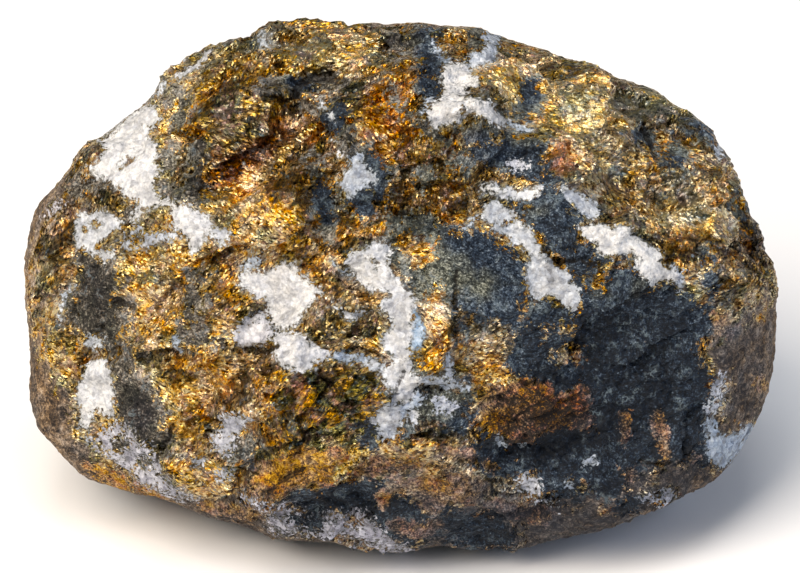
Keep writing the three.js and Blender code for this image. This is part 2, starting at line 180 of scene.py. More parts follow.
# %% Vein quartz
# Each patch: how cool and grey it is (0 to 1; on some patches painted shade), how lilac, how much wider
# than its outline (mm), the outline.
QUARTZ = [
    (0.15, 0.1, 0.06, [(152, 104), (157, 112), (158, 122), (150, 128), (149, 137), (155, 145), (157, 152),
     (155, 160), (158, 170), (161, 173), (152, 181), (153, 188), (157, 195), (166, 200), (178, 205),
     (190, 206), (197, 212), (209, 216), (212, 225), (209, 232), (205, 240), (198, 248), (193, 254),
     (188, 247), (184, 239), (181, 231), (172, 228), (170, 220), (173, 212), (166, 207), (157, 206),
     (149, 207), (140, 213), (136, 219), (131, 224), (127, 220), (133, 212), (138, 205), (136, 199),
     (127, 199), (122, 196), (123, 191), (114, 186), (108, 180), (100, 176), (91, 175), (94, 168),
     (100, 160), (106, 154), (104, 147), (98, 143), (104, 138), (113, 131), (122, 121), (133, 112),
     (143, 106)]),
    (0.2, 0.1, 0.0, [(172, 74), (180, 66), (190, 58), (200, 50), (208, 46), (210, 52), (202, 58), (192, 66),
     (182, 74), (176, 80)]),
    (0.4, 0.1, -0.1, [(151, 98), (154, 88), (160, 80), (168, 77), (168, 84), (162, 92), (156, 100)]),
    (0.1, 0.8, -0.15, [(42, 216), (50, 206), (60, 200), (62, 206), (54, 211), (46, 218)]),
    (0.3, 0.1, 0.02, [(80, 213), (92, 213), (100, 209), (108, 213), (116, 214), (122, 222), (121, 229),
     (114, 232), (108, 238), (104, 242), (97, 244), (97, 250), (108, 252), (116, 250), (119, 253),
     (112, 258), (104, 262), (98, 256), (92, 252), (84, 248), (77, 249), (75, 242), (78, 235), (75, 228),
     (78, 220)]),
    (0.6, 0.3, -0.04, [(127, 231), (136, 226), (142, 232), (146, 238), (152, 233), (163, 232), (176, 232),
     (180, 238), (170, 240), (160, 243), (150, 246), (143, 249), (135, 249), (130, 252), (124, 249),
     (122, 243), (128, 239)]),
    (0.3, 0.1, 0.05, [(205, 232), (214, 226), (222, 231), (230, 231), (232, 238), (226, 243), (220, 244),
     (213, 238)]),
    (0.6, 0.1, -0.05, [(68, 285), (73, 287), (68, 297), (66, 307), (63, 316), (59, 322), (60, 310),
     (62, 298)]),
    (0.5, 0.1, -0.05, [(82, 341), (90, 336), (99, 338), (103, 343), (97, 350), (88, 350)]),
    (0.8, 0.1, -0.05, [(174, 337), (180, 335), (182, 343), (178, 352), (173, 347)]),
    (0.2, 0.1, 0.0, [(87, 360), (97, 358), (103, 362), (108, 370), (112, 380), (114, 390), (113, 398),
     (114, 405), (111, 412), (108, 419), (102, 417), (97, 412), (92, 414), (91, 420), (92, 427), (86, 430),
     (80, 428), (79, 420), (77, 412), (78, 404), (75, 398), (76, 390), (80, 383), (83, 378), (84, 370)]),
    (0.5, 0.2, -0.1, [(84, 428), (90, 430), (90, 445), (85, 446)]),
    (0.45, 0.75, 0.04, [(96, 438), (104, 430), (113, 424), (122, 424), (130, 430), (136, 436), (139, 443),
     (146, 447), (152, 453), (157, 462), (160, 472), (163, 480), (170, 486), (178, 492), (190, 497),
     (195, 499), (182, 500), (172, 495), (162, 490), (154, 487), (146, 485), (138, 480), (133, 474),
     (124, 470), (117, 465), (112, 459), (106, 455), (101, 448), (96, 442)]),
    (0.6, 0.5, -0.1, [(193, 458), (200, 456), (206, 461), (203, 468), (195, 467)]),
    (0.6, 0.5, -0.1, [(217, 470), (225, 467), (233, 472), (230, 481), (220, 480)]),
    (0.6, 0.6, -0.1, [(222, 412), (240, 412), (252, 418), (245, 428), (232, 440), (238, 450), (225, 455),
     (212, 450), (208, 440), (218, 430)]),
    (0.08, 0.1, 0.05, [(240, 274), (247, 270), (256, 272), (262, 274), (270, 270), (276, 268), (281, 263),
     (285, 261), (289, 265), (295, 265), (300, 271), (304, 277), (311, 282), (315, 286), (321, 291),
     (316, 295), (311, 300), (309, 308), (302, 313), (300, 320), (297, 326), (290, 328), (282, 327),
     (275, 325), (272, 320), (268, 312), (266, 302), (263, 300), (256, 297), (250, 293), (245, 288),
     (240, 285)]),
    # painted shade: the blue-grey shaded top left of the patch above
    (0.7, 0.1, 0.0, [(243, 268), (247, 262), (254, 256), (260, 256), (262, 264), (258, 270), (250, 272)]),
    (0.2, 0.5, 0.0, [(262, 312), (268, 318), (274, 326), (270, 333), (268, 342), (258, 347), (248, 350),
     (240, 348), (234, 340), (233, 330), (240, 322), (250, 316)]),
    (0.15, 0.2, 0.0, [(272, 335), (280, 333), (290, 332), (300, 333), (304, 338), (308, 342), (318, 345),
     (328, 350), (336, 356), (330, 358), (322, 362), (314, 366), (308, 371), (298, 372), (290, 370),
     (282, 366), (276, 360), (270, 354), (274, 346)]),
    (0.8, 0.1, -0.08, [(328, 352), (345, 350), (360, 352), (372, 356), (372, 362), (358, 364), (342, 362),
     (330, 360)]),
    (0.5, 0.1, -0.05, [(362, 362), (370, 358), (378, 358), (386, 362), (384, 370), (374, 371), (366, 368)]),
    (0.22, 0.1, 0.05, [(346, 262), (349, 256), (352, 252), (358, 251), (365, 248), (372, 244), (380, 242),
     (388, 242), (391, 248), (390, 255), (388, 262), (389, 268), (394, 275), (399, 282), (405, 288),
     (411, 292), (414, 298), (414, 306), (413, 318), (412, 330), (411, 345), (410, 360), (409, 372),
     (414, 376), (420, 376), (424, 382), (420, 388), (416, 392), (414, 398), (412, 404), (408, 408),
     (402, 406), (395, 402), (397, 396), (392, 392), (388, 385), (383, 378), (382, 372), (388, 366),
     (396, 360), (392, 352), (386, 350), (382, 345), (384, 338), (388, 332), (392, 325), (390, 318),
     (385, 314), (380, 310), (381, 304), (387, 297), (392, 293), (386, 290), (376, 290), (366, 288),
     (361, 284), (358, 280), (352, 274), (348, 269)]),
    (0.9, 0.1, -0.06, [(333, 262), (339, 264), (345, 272), (352, 276), (346, 277), (338, 270)]),
    # painted shade: the blue shaded right side of the tall vein
    (1.1, 0.0, -0.02, [(413, 308), (418, 313), (424, 321), (426, 335), (423, 347), (416, 353), (411, 350),
     (412, 330)]),
    (0.3, 0.1, -0.05, [(331, 303), (340, 306), (350, 312), (356, 311), (362, 310), (368, 313), (360, 318),
     (354, 319), (348, 321), (342, 318), (338, 311), (330, 306)]),
    (0.55, 0.15, -0.02, [(444, 352), (449, 350), (452, 362), (453, 374), (458, 384), (452, 386), (447, 376),
     (444, 364)]),
    (0.6, 0.1, 0.02, [(354, 155), (359, 153), (364, 156), (363, 160), (366, 163), (366, 168), (371, 172),
     (376, 174), (378, 180), (373, 184), (367, 185), (361, 189), (357, 190), (356, 194), (352, 198),
     (347, 195), (344, 190), (341, 186), (340, 182), (343, 178), (347, 172), (350, 169), (349, 164),
     (352, 160)]),
    (0.0, 0.0, 0.08, [(449, 65), (456, 66), (461, 64), (466, 68), (470, 76), (476, 80), (470, 84),
     (464, 88), (468, 92), (462, 96), (464, 100), (470, 101), (478, 101), (488, 104), (496, 107),
     (500, 115), (506, 118), (510, 119), (508, 122), (502, 124), (498, 127), (494, 122), (486, 116),
     (478, 113), (470, 113), (463, 116), (458, 119), (452, 122), (446, 124), (440, 127), (434, 125),
     (430, 122), (426, 118), (425, 113), (432, 110), (433, 104), (437, 100), (441, 98), (443, 92),
     (444, 84), (442, 78), (442, 70), (445, 66)]),
    (0.9, 0.2, -0.04, [(431, 40), (436, 40), (440, 45), (442, 52), (446, 58), (449, 62), (448, 66),
     (443, 68), (441, 62), (438, 55), (434, 50), (431, 46)]),
    (0.55, 0.1, 0.0, [(484, 34), (492, 32), (499, 35), (500, 42), (497, 50), (497, 58), (494, 65),
     (488, 66), (480, 66), (474, 70), (470, 74), (466, 68), (462, 64), (466, 60), (474, 56), (480, 52),
     (484, 46), (488, 42), (484, 38)]),
    (0.85, 0.2, -0.05, [(420, 112), (424, 102), (428, 94), (432, 98), (431, 106), (427, 113), (423, 119)]),
    (0.7, 0.0, -0.08, [(508, 118), (518, 121), (526, 125), (532, 127), (534, 131), (526, 133), (518, 130),
     (510, 126), (504, 123)]),
    (0.45, 0.5, -0.12, [(512, 158), (520, 156), (526, 160), (530, 166), (527, 172), (520, 171), (514, 168),
     (508, 164)]),
    (0.2, 0.05, 0.03, [(480, 189), (485, 185), (490, 183), (497, 186), (500, 188), (506, 190), (514, 191),
     (520, 191), (527, 190), (533, 187), (539, 187), (540, 190), (537, 195), (533, 198), (527, 198),
     (520, 200), (512, 199), (505, 198), (498, 197), (492, 195), (486, 192)]),
    (0.5, 0.1, 0.02, [(560, 184), (565, 185), (570, 189), (576, 191), (581, 196), (588, 198), (594, 200),
     (600, 206), (600, 211), (596, 217), (594, 219), (588, 219), (580, 212), (576, 207), (572, 203),
     (566, 197), (561, 190)]),
    (0.1, 0.0, 0.1, [(578, 226), (583, 228), (588, 226), (596, 227), (604, 228), (612, 228), (620, 228),
     (628, 230), (632, 232), (640, 236), (644, 240), (648, 244), (655, 248), (662, 252), (661, 258),
     (661, 264), (664, 267), (668, 270), (672, 266), (678, 272), (681, 278), (676, 281), (670, 280),
     (664, 279), (660, 283), (656, 285), (652, 283), (648, 278), (643, 278), (638, 272), (636, 266),
     (638, 260), (636, 255), (632, 252), (624, 254), (616, 255), (610, 257), (602, 253), (596, 252),
     (598, 246), (594, 240), (588, 238), (584, 234), (580, 230)]),
    (0.8, 0.3, -0.06, [(674, 264), (682, 270), (684, 280), (682, 290), (677, 292), (674, 284)]),
    (0.35, 0.0, 0.04, [(484, 210), (488, 204), (494, 202), (502, 203), (504, 207), (510, 209), (516, 212),
     (519, 218), (521, 223), (526, 226), (530, 230), (533, 236), (537, 241), (541, 246), (541, 252),
     (545, 257), (551, 263), (558, 266), (565, 269), (569, 274), (570, 280), (574, 285), (578, 290),
     (580, 296), (580, 303), (578, 308), (573, 312), (568, 308), (562, 303), (558, 298), (552, 295),
     (545, 296), (540, 300), (535, 298), (531, 292), (528, 286), (526, 278), (527, 270), (529, 262),
     (530, 255), (528, 250), (522, 246), (515, 242), (508, 238), (502, 233), (496, 230), (492, 226),
     (487, 222), (482, 218)]),
    (0.6, 0.0, -0.12, [(462, 226), (470, 220), (478, 214), (484, 214), (480, 220), (470, 227), (464, 230)]),
    (0.6, 0.15, -0.02, [(416, 380), (430, 376), (445, 378), (470, 386), (468, 390), (450, 388), (432, 388),
     (420, 388)]),
    (0.8, 0.5, -0.1, [(428, 400), (440, 396), (452, 398), (460, 406), (448, 416), (432, 412)]),
    (0.1, 0.0, -0.1, [(430, 380), (438, 376), (444, 379), (440, 386), (432, 386)]),
    (0.5, 0.2, 0.02, [(371, 417), (378, 412), (384, 406), (391, 403), (397, 404), (402, 405), (404, 410),
     (404, 420), (402, 425), (398, 428), (401, 433), (394, 437), (388, 440), (381, 438), (380, 432),
     (378, 428), (374, 423)]),
    (0.85, 0.2, -0.02, [(398, 404), (408, 404), (414, 400), (420, 396), (424, 400), (418, 408), (410, 412),
     (404, 420), (400, 424), (398, 412)]),
    (0.3, 0.1, -0.04, [(409, 412), (414, 409), (419, 414), (420, 421), (415, 428), (410, 425), (407, 418)]),
    (0.7, 0.9, 0.0, [(268, 512), (276, 508), (286, 506), (294, 508), (302, 512), (306, 516), (300, 518),
     (292, 520), (290, 524), (298, 526), (305, 530), (315, 530), (322, 527), (326, 522), (322, 515),
     (330, 512), (340, 513), (350, 516), (360, 516), (368, 518), (374, 524), (378, 530), (384, 536),
     (392, 540), (400, 544), (408, 546), (412, 551), (400, 552), (388, 552), (378, 548), (370, 544),
     (360, 542), (352, 540), (345, 538), (335, 536), (325, 535), (312, 534), (300, 530), (292, 531),
     (280, 531), (272, 530), (270, 522), (276, 518)]),
    (0.9, 0.9, -0.12, [(240, 495), (250, 499), (262, 502), (275, 504), (285, 505), (290, 508), (280, 508),
     (266, 507), (254, 505), (244, 502), (238, 499)]),
    (0.5, 0.5, 0.0, [(515, 484), (522, 476), (530, 477), (536, 480), (541, 485), (538, 492), (532, 495),
     (526, 491), (518, 488)]),
    (0.5, 0.5, -0.1, [(532, 493), (545, 499), (558, 505), (556, 509), (546, 506), (536, 500)]),
    (0.7, 0.2, -0.08, [(582, 460), (590, 456), (598, 459), (598, 466), (590, 468), (584, 466)]),
    (0.85, 0.2, -0.1, [(562, 482), (568, 478), (574, 482), (572, 490), (564, 490)]),
    (0.8, 0.1, -0.08, [(519, 440), (525, 441), (528, 448), (526, 456), (521, 452)]),
    (0.75, 0.1, -0.1, [(494, 432), (500, 434), (505, 441), (501, 446), (495, 440)]),
    # painted shade: cool grey-blue on the quartz at the right edge
    (0.88, 0.1, 0.03, [(706, 421), (710, 417), (717, 417), (718, 424), (717, 430), (721, 434), (727, 436),
     (733, 435), (738, 432), (741, 428), (741, 424), (748, 424), (754, 427), (752, 433), (749, 438),
     (746, 444), (742, 450), (738, 455), (733, 460), (728, 464), (723, 466), (719, 468), (715, 464),
     (712, 460), (709, 455), (708, 445), (708, 435), (709, 428)]),
    (0.6, 0.3, -0.02, [(707, 409), (712, 404), (719, 401), (720, 407), (719, 415), (712, 417), (708, 414)]),
    (0.6, 0.5, -0.12, [(711, 388), (716, 379), (722, 372), (726, 378), (726, 390), (724, 398), (718, 402),
     (714, 398)]),
    (0.7, 0.6, -0.04, [(640, 497), (650, 494), (660, 497), (667, 493), (673, 491), (678, 495), (674, 501),
     (665, 505), (657, 506), (648, 502)]),
    (0.3, 0.0, -0.06, [(318, 104), (321, 100), (325, 103), (330, 110), (336, 117), (333, 119), (326, 112),
     (320, 108)]),
    (0.3, 0.1, -0.06, [(331, 140), (335, 140), (338, 147), (335, 148)]),
    (0.15, 0.5, -0.04, [(334, 153), (341, 151), (345, 154), (343, 159), (337, 158)]),
    (0.2, 0.1, -0.04, [(302, 151), (307, 150), (310, 154), (305, 156)]),
    (0.5, 0.0, -0.06, [(257, 38), (264, 34), (271, 37), (270, 43), (261, 44)]),
    (0.5, 0.1, -0.08, [(714, 144), (720, 144), (724, 152), (722, 158), (716, 154)]),
]
print("quartz patches:", len(QUARTZ))

# %% [markdown]
# Dark chlorite rock fills between the veins. Brassy islands lie inside it and inside the quartz, and go on
# top. In some places it is the rock that cuts through the quartz. Where the brass is solid, no rock frays
# into it.

# %% Dark rock and the brassy islands in it
# Each patch: how much wider it is than its outline (mm), the outline.
DARK_ROCK = [
    (0.0, [(165, 80), (178, 78), (186, 85), (192, 95), (192, 125), (186, 131), (195, 138), (203, 140),
     (207, 155), (206, 170), (203, 182), (206, 195), (203, 205), (190, 203), (178, 202), (165, 199),
     (157, 193), (153, 185), (160, 172), (157, 160), (157, 150), (152, 143), (150, 132), (160, 118),
     (150, 104), (158, 97), (163, 90)]),
    (0.0, [(66, 182), (75, 178), (88, 178), (103, 178), (112, 183), (116, 187), (106, 190), (95, 188),
     (84, 190), (80, 196), (70, 198), (66, 190)]),
    (0.0, [(120, 204), (130, 200), (137, 203), (133, 212), (128, 222), (121, 222), (114, 212), (112, 206)]),
    (0.0, [(76, 250), (84, 252), (92, 258), (102, 262), (112, 258), (120, 262), (118, 272), (124, 280),
     (115, 292), (117, 300), (131, 303), (120, 309), (130, 318), (126, 330), (122, 345), (118, 360),
     (108, 358), (100, 350), (92, 338), (80, 332), (72, 326), (66, 318), (68, 306), (73, 295), (78, 287),
     (80, 272), (77, 262)]),
    (0.1, [(186, 268), (194, 264), (196, 280), (200, 292), (214, 298), (205, 304), (196, 312), (198, 324),
     (188, 326), (180, 318), (182, 300), (184, 285)]),
    (-0.05, [(182, 330), (200, 328), (215, 334), (228, 336), (225, 343), (205, 345), (190, 348),
     (182, 346)]),
    (0.0, [(105, 360), (112, 378), (115, 395), (113, 412), (120, 420), (130, 428), (140, 440), (150, 447),
     (160, 452), (172, 452), (165, 440), (164, 425), (165, 415), (158, 405), (152, 395), (150, 385),
     (155, 380), (150, 376), (140, 372), (136, 362), (130, 350)]),
    (0.3, [(390, 215), (398, 213), (401, 225), (399, 240), (398, 255), (400, 265), (392, 266), (389, 255),
     (390, 240)]),
    (0.35, [(318, 195), (325, 190), (330, 198), (328, 210), (329, 225), (327, 235), (322, 232), (323, 215),
     (317, 205)]),
    (0.3, [(353, 196), (365, 192), (372, 190), (368, 200), (366, 212), (358, 217), (356, 206)]),
    (0.25, [(271, 76), (280, 75), (290, 74), (300, 77), (308, 74), (315, 71), (325, 72), (335, 73),
     (342, 72), (345, 78), (338, 83), (330, 88), (322, 88), (314, 86), (305, 86), (298, 90), (290, 90),
     (284, 88), (278, 90), (270, 92), (262, 92), (264, 84), (268, 80)]),
    (0.4, [(296, 100), (306, 103), (314, 100), (325, 102), (332, 108), (340, 118), (350, 128), (356, 138),
     (352, 142), (345, 138), (338, 138), (332, 132), (330, 124), (322, 118), (318, 110), (310, 108),
     (300, 108)]),
    (0.2, [(338, 150), (352, 143), (362, 142), (372, 145), (378, 152), (382, 160), (385, 170), (383, 178),
     (388, 188), (392, 198), (385, 200), (378, 196), (370, 190), (362, 192), (357, 198), (368, 208),
     (356, 206), (348, 204), (344, 200), (340, 190), (336, 184), (342, 176), (347, 170), (348, 162),
     (342, 158)]),
    (0.35, [(303, 158), (312, 158), (318, 168), (322, 178), (330, 186), (334, 192), (328, 196), (328, 205),
     (322, 210), (314, 206), (316, 196), (318, 188), (310, 178), (304, 170)]),
    (0.25, [(404, 30), (412, 28), (420, 32), (428, 34), (436, 34), (446, 30), (450, 34), (444, 38),
     (438, 38), (434, 42), (434, 52), (438, 58), (441, 66), (441, 76), (443, 86), (441, 94), (437, 98),
     (432, 102), (428, 98), (422, 92), (420, 80), (421, 70), (420, 58), (416, 52), (408, 46), (396, 48),
     (396, 66), (389, 66), (388, 50), (394, 40), (404, 38)]),
    (-0.1, [(380, 76), (390, 80), (394, 92), (398, 104), (410, 106), (420, 110), (424, 120), (438, 130),
     (452, 132), (458, 142), (450, 150), (438, 146), (424, 140), (412, 128), (404, 118), (392, 110),
     (384, 96)]),
    (-0.05, [(462, 128), (475, 118), (488, 120), (498, 128), (505, 132), (500, 140), (485, 148), (470, 150),
     (460, 142)]),
    (-0.05, [(452, 155), (462, 152), (470, 160), (468, 174), (458, 176), (452, 168)]),
    (0.0, [(418, 168), (428, 167), (430, 180), (426, 190), (419, 188)]),
    (-0.05, [(468, 92), (476, 90), (484, 98), (494, 102), (504, 110), (514, 116), (508, 120), (498, 116),
     (488, 106), (474, 101)]),
    # painted shade: a dark strip down the shaded right side of the tall vein
    (0.0, [(412, 354), (425, 348), (423, 362), (420, 378), (411, 376)]),
    (0.0, [(469, 28), (480, 28), (486, 34), (484, 42), (480, 50), (470, 54), (468, 44)]),
    (0.05, [(520, 78), (530, 74), (541, 78), (543, 88), (543, 100), (545, 108), (538, 112), (528, 119),
     (518, 122), (508, 118), (518, 110), (521, 100), (519, 90)]),
    (0.0, [(470, 150), (480, 140), (495, 135), (505, 128), (520, 134), (530, 134), (540, 140), (548, 148),
     (550, 160), (548, 172), (556, 178), (560, 184), (552, 186), (543, 188), (538, 184), (528, 180),
     (515, 172), (500, 170), (485, 165), (472, 162)]),
    (0.05, [(624, 128), (632, 124), (642, 125), (650, 125), (656, 132), (656, 144), (650, 148), (645, 142),
     (640, 138), (630, 136)]),
    (0.0, [(683, 125), (690, 120), (700, 124), (708, 130), (716, 138), (718, 146), (710, 144), (700, 140),
     (690, 136), (684, 134)]),
    (-0.1, [(656, 142), (672, 140), (682, 140), (690, 152), (692, 165), (695, 175), (686, 180), (676, 174),
     (668, 168), (656, 160), (652, 150)]),
    (-0.05, [(730, 196), (742, 194), (750, 206), (758, 218), (748, 222), (738, 216), (730, 206)]),
    (0.0, [(699, 247), (706, 245), (711, 252), (710, 262), (712, 274), (718, 286), (724, 298), (720, 302),
     (712, 292), (706, 278), (701, 264), (699, 255)]),
    (0.05, [(403, 215), (415, 212), (430, 215), (445, 225), (460, 230), (470, 232), (480, 228), (490, 232),
     (500, 238), (510, 245), (518, 252), (524, 262), (522, 275), (526, 285), (530, 296), (528, 305),
     (522, 312), (520, 325), (516, 335), (505, 325), (490, 322), (475, 325), (465, 335), (460, 345),
     (455, 335), (452, 320), (450, 300), (440, 290), (430, 295), (420, 300), (412, 290), (405, 280),
     (400, 270), (399, 250), (401, 232)]),
    (0.05, [(505, 200), (520, 201), (534, 199), (542, 190), (552, 188), (560, 190), (568, 202), (578, 212),
     (585, 222), (578, 226), (584, 238), (594, 244), (596, 254), (606, 258), (620, 256), (632, 256),
     (638, 270), (650, 280), (656, 287), (664, 281), (674, 283), (678, 294), (690, 292), (700, 306),
     (712, 312), (716, 320), (712, 332), (704, 340), (699, 350), (699, 360), (706, 367), (712, 374),
     (713, 382), (711, 395), (707, 408), (705, 422), (707, 440), (708, 456), (712, 466), (703, 470),
     (690, 462), (675, 464), (668, 462), (655, 468), (642, 472), (630, 482), (615, 500), (600, 500),
     (590, 480), (575, 478), (560, 495), (545, 498), (535, 478), (525, 478), (520, 470), (515, 455),
     (510, 440), (530, 443), (545, 436), (560, 430), (580, 431), (594, 427), (592, 415), (590, 390),
     (578, 384), (562, 393), (552, 386), (530, 378), (508, 372), (512, 350), (520, 335), (524, 318),
     (532, 306), (545, 300), (560, 302), (572, 310), (580, 302), (574, 286), (568, 272), (560, 260),
     (548, 250), (540, 242), (534, 232), (528, 224), (522, 218), (518, 210), (510, 206)]),
    (0.0, [(287, 500), (300, 490), (312, 488), (325, 487), (336, 486), (345, 482), (355, 482), (370, 480),
     (380, 480), (388, 484), (386, 492), (376, 498), (372, 505), (376, 512), (368, 514), (355, 512),
     (340, 510), (325, 508), (310, 508), (298, 505), (288, 504)]),
    (0.05, [(362, 424), (368, 421), (376, 424), (378, 432), (376, 440), (372, 448), (365, 446), (363, 436),
     (361, 430)]),
    (0.0, [(385, 500), (400, 503), (415, 508), (425, 510), (432, 515), (430, 520), (415, 519), (400, 519),
     (388, 515), (380, 508)]),
    (0.0, [(440, 512), (452, 508), (462, 508), (475, 510), (490, 512), (500, 516), (510, 530), (520, 547),
     (500, 552), (480, 549), (460, 552), (445, 544), (446, 525)]),
    (-0.05, [(478, 428), (492, 434), (505, 445), (512, 440), (522, 450), (520, 465), (515, 478), (500, 478),
     (488, 478), (478, 470), (472, 455), (474, 440)]),
    (0.0, [(616, 500), (628, 495), (640, 498), (650, 502), (640, 514), (625, 520), (612, 517)]),
    (-0.1, [(418, 376), (428, 390), (440, 388), (456, 386), (470, 386), (476, 400), (476, 414), (470, 430),
     (455, 432), (440, 428), (425, 424), (412, 432), (402, 436), (404, 426), (414, 408), (420, 394)]),
    (0.0, [(176, 498), (190, 498), (208, 500), (206, 510), (190, 510), (178, 508)]),
    (0.1, [(374, 508), (386, 504), (392, 496), (404, 499), (416, 505), (420, 516), (442, 516), (452, 520),
     (452, 546), (412, 549), (398, 541), (388, 536), (378, 524)]),
    (0.0, [(556, 478), (570, 473), (581, 476), (579, 490), (590, 501), (580, 508), (564, 504), (558, 494)]),
    (0.0, [(280, 513), (300, 511), (318, 514), (328, 520), (319, 528), (304, 527), (288, 521)]),
    (0.1, [(110, 441), (122, 435), (132, 444), (125, 453), (113, 451)]),
    (0.05, [(138, 456), (151, 461), (147, 471), (136, 465)]),
    (-0.1, [(228, 438), (240, 436), (256, 440), (262, 448), (256, 458), (240, 462), (228, 458)]),
]
# Wedges where the rock cuts through the quartz
ROCK_IN_QUARTZ = [
    (0.0, [(284, 514), (300, 512), (316, 515), (326, 520), (318, 526), (305, 525), (292, 520)]),
    (0.0, [(112, 440), (122, 436), (130, 444), (124, 452), (114, 450)]),
    (0.0, [(140, 456), (150, 462), (146, 470), (137, 464)]),
    (0.0, [(345, 520), (352, 518), (360, 526), (356, 532), (348, 528)]),
    (0.0, [(90, 222), (97, 219), (101, 225), (95, 229)]),
    (0.0, [(84, 226), (88, 224), (90, 229), (86, 232)]),
    (0.0, [(172, 478), (180, 482), (184, 490), (176, 488)]),
]
BRASS_ISLANDS = [
    (0.0, [(158, 98), (168, 96), (172, 104), (172, 112), (166, 118), (158, 115), (154, 106)]),
    (0.0, [(152, 128), (160, 122), (170, 128), (180, 131), (184, 138), (178, 144), (170, 148), (160, 143),
     (155, 137)]),
    (0.0, [(170, 168), (178, 158), (186, 162), (187, 172), (180, 182), (171, 183)]),
    (0.0, [(116, 163), (124, 158), (131, 154), (131, 158), (124, 163), (117, 167)]),
    (0.0, [(140, 217), (148, 208), (158, 206), (170, 208), (173, 214), (168, 226), (158, 229), (148, 231),
     (141, 225)]),
    (0.0, [(112, 232), (118, 228), (124, 231), (128, 237), (120, 246), (110, 250), (101, 252), (97, 248),
     (100, 243), (108, 239)]),
    (0.0, [(127, 237), (134, 232), (141, 236), (143, 242), (136, 247), (130, 248)]),
    (0.0, [(183, 240), (187, 240), (187, 248), (184, 248)]),
    (0.05, [(373, 261), (377, 261), (377, 265), (373, 265)]),
    (0.0, [(504, 222), (510, 220), (513, 223), (508, 226), (504, 226)]),
    (0.05, [(462, 108), (465, 108), (465, 112), (462, 112)]),
    (0.0, [(549, 250), (556, 249), (562, 254), (567, 262), (565, 271), (558, 269), (554, 262), (550, 257)]),
    (0.0, [(588, 275), (596, 268), (606, 262), (620, 262), (630, 260), (634, 266), (628, 271), (618, 270),
     (610, 272), (604, 280), (598, 286), (590, 290), (587, 283)]),
    (-0.05, [(549, 355), (556, 348), (566, 345), (578, 346), (586, 350), (590, 358), (586, 366), (576, 369),
     (564, 368), (554, 366)]),
    (0.0, [(402, 236), (412, 232), (424, 236), (432, 244), (431, 256), (424, 262), (412, 264), (402, 258),
     (399, 246)]),
    (0.0, [(426, 296), (434, 293), (444, 296), (451, 305), (452, 322), (448, 342), (440, 350), (430, 346),
     (424, 330), (424, 310)]),
    (0.0, [(455, 316), (463, 314), (471, 318), (470, 324), (460, 326), (454, 322)]),
    (-0.05, [(545, 330), (560, 322), (575, 328), (572, 336), (556, 338), (546, 336)]),
    (-0.05, [(115, 262), (122, 259), (130, 262), (129, 269), (120, 271), (114, 268)]),
]
# Solid brass
SOLID_BRASS = [
    (0.0, [(196, 96), (215, 84), (240, 80), (262, 94), (282, 98), (298, 102), (285, 125), (268, 142),
     (250, 155), (225, 165), (208, 172), (206, 150), (196, 130)]),
    (0.0, [(232, 178), (262, 165), (300, 162), (312, 182), (316, 205), (300, 225), (275, 240), (240, 238),
     (222, 215), (222, 195)]),
    (0.0, [(250, 44), (300, 36), (380, 40), (386, 62), (340, 68), (300, 70), (262, 72)]),
    (0.0, [(552, 92), (600, 84), (648, 100), (650, 122), (610, 135), (560, 140), (545, 118)]),
    (0.0, [(150, 372), (200, 360), (235, 372), (232, 405), (205, 420), (168, 412)]),
]
print("dark patches:", len(DARK_ROCK), "brassy islands:", len(BRASS_ISLANDS))

# %% [markdown]
# The rim has weathered to a dull brown rind, and rusty ochre (limonite) coats the ledges of the lower face.

# %% Weathered rind and ochre
RIND = [
    (0.0, [(0, 170), (30, 175), (50, 185), (62, 180), (66, 190), (60, 200), (50, 205), (46, 218), (40, 232),
     (30, 252), (26, 280), (27, 300), (31, 322), (38, 345), (46, 362), (56, 380), (70, 398), (76, 420),
     (72, 440), (85, 448), (95, 455), (110, 465), (120, 478), (135, 487), (150, 490), (170, 498),
     (195, 502), (225, 503), (250, 508), (262, 514), (268, 522), (280, 533), (300, 534), (322, 537),
     (345, 541), (350, 560), (200, 570), (0, 560)]),
    (0.0, [(775, 300), (762, 312), (750, 316), (738, 325), (726, 330), (718, 342), (712, 352), (714, 366),
     (722, 372), (727, 380), (727, 392), (728, 400), (724, 410), (722, 420), (722, 432), (730, 436),
     (738, 431), (741, 424), (748, 423), (757, 425), (770, 420), (810, 400), (810, 300)]),
    (0.0, [(525, 520), (545, 508), (560, 508), (575, 506), (590, 500), (600, 505), (612, 512), (625, 520),
     (640, 514), (655, 502), (676, 499), (690, 492), (676, 488), (655, 490), (640, 492), (625, 492),
     (630, 482), (642, 474), (655, 470), (668, 464), (680, 466), (692, 464), (704, 471), (712, 470),
     (722, 466), (735, 460), (760, 470), (700, 520), (640, 535), (560, 575), (515, 570), (518, 545)]),
    (-0.05, [(455, 505), (470, 503), (490, 500), (515, 500), (528, 503), (545, 508), (540, 520), (525, 528),
     (512, 528), (500, 514), (485, 510), (468, 508)]),
    (0.0, [(420, 548), (430, 538), (440, 536), (446, 545), (460, 552), (460, 570), (420, 570)]),
]
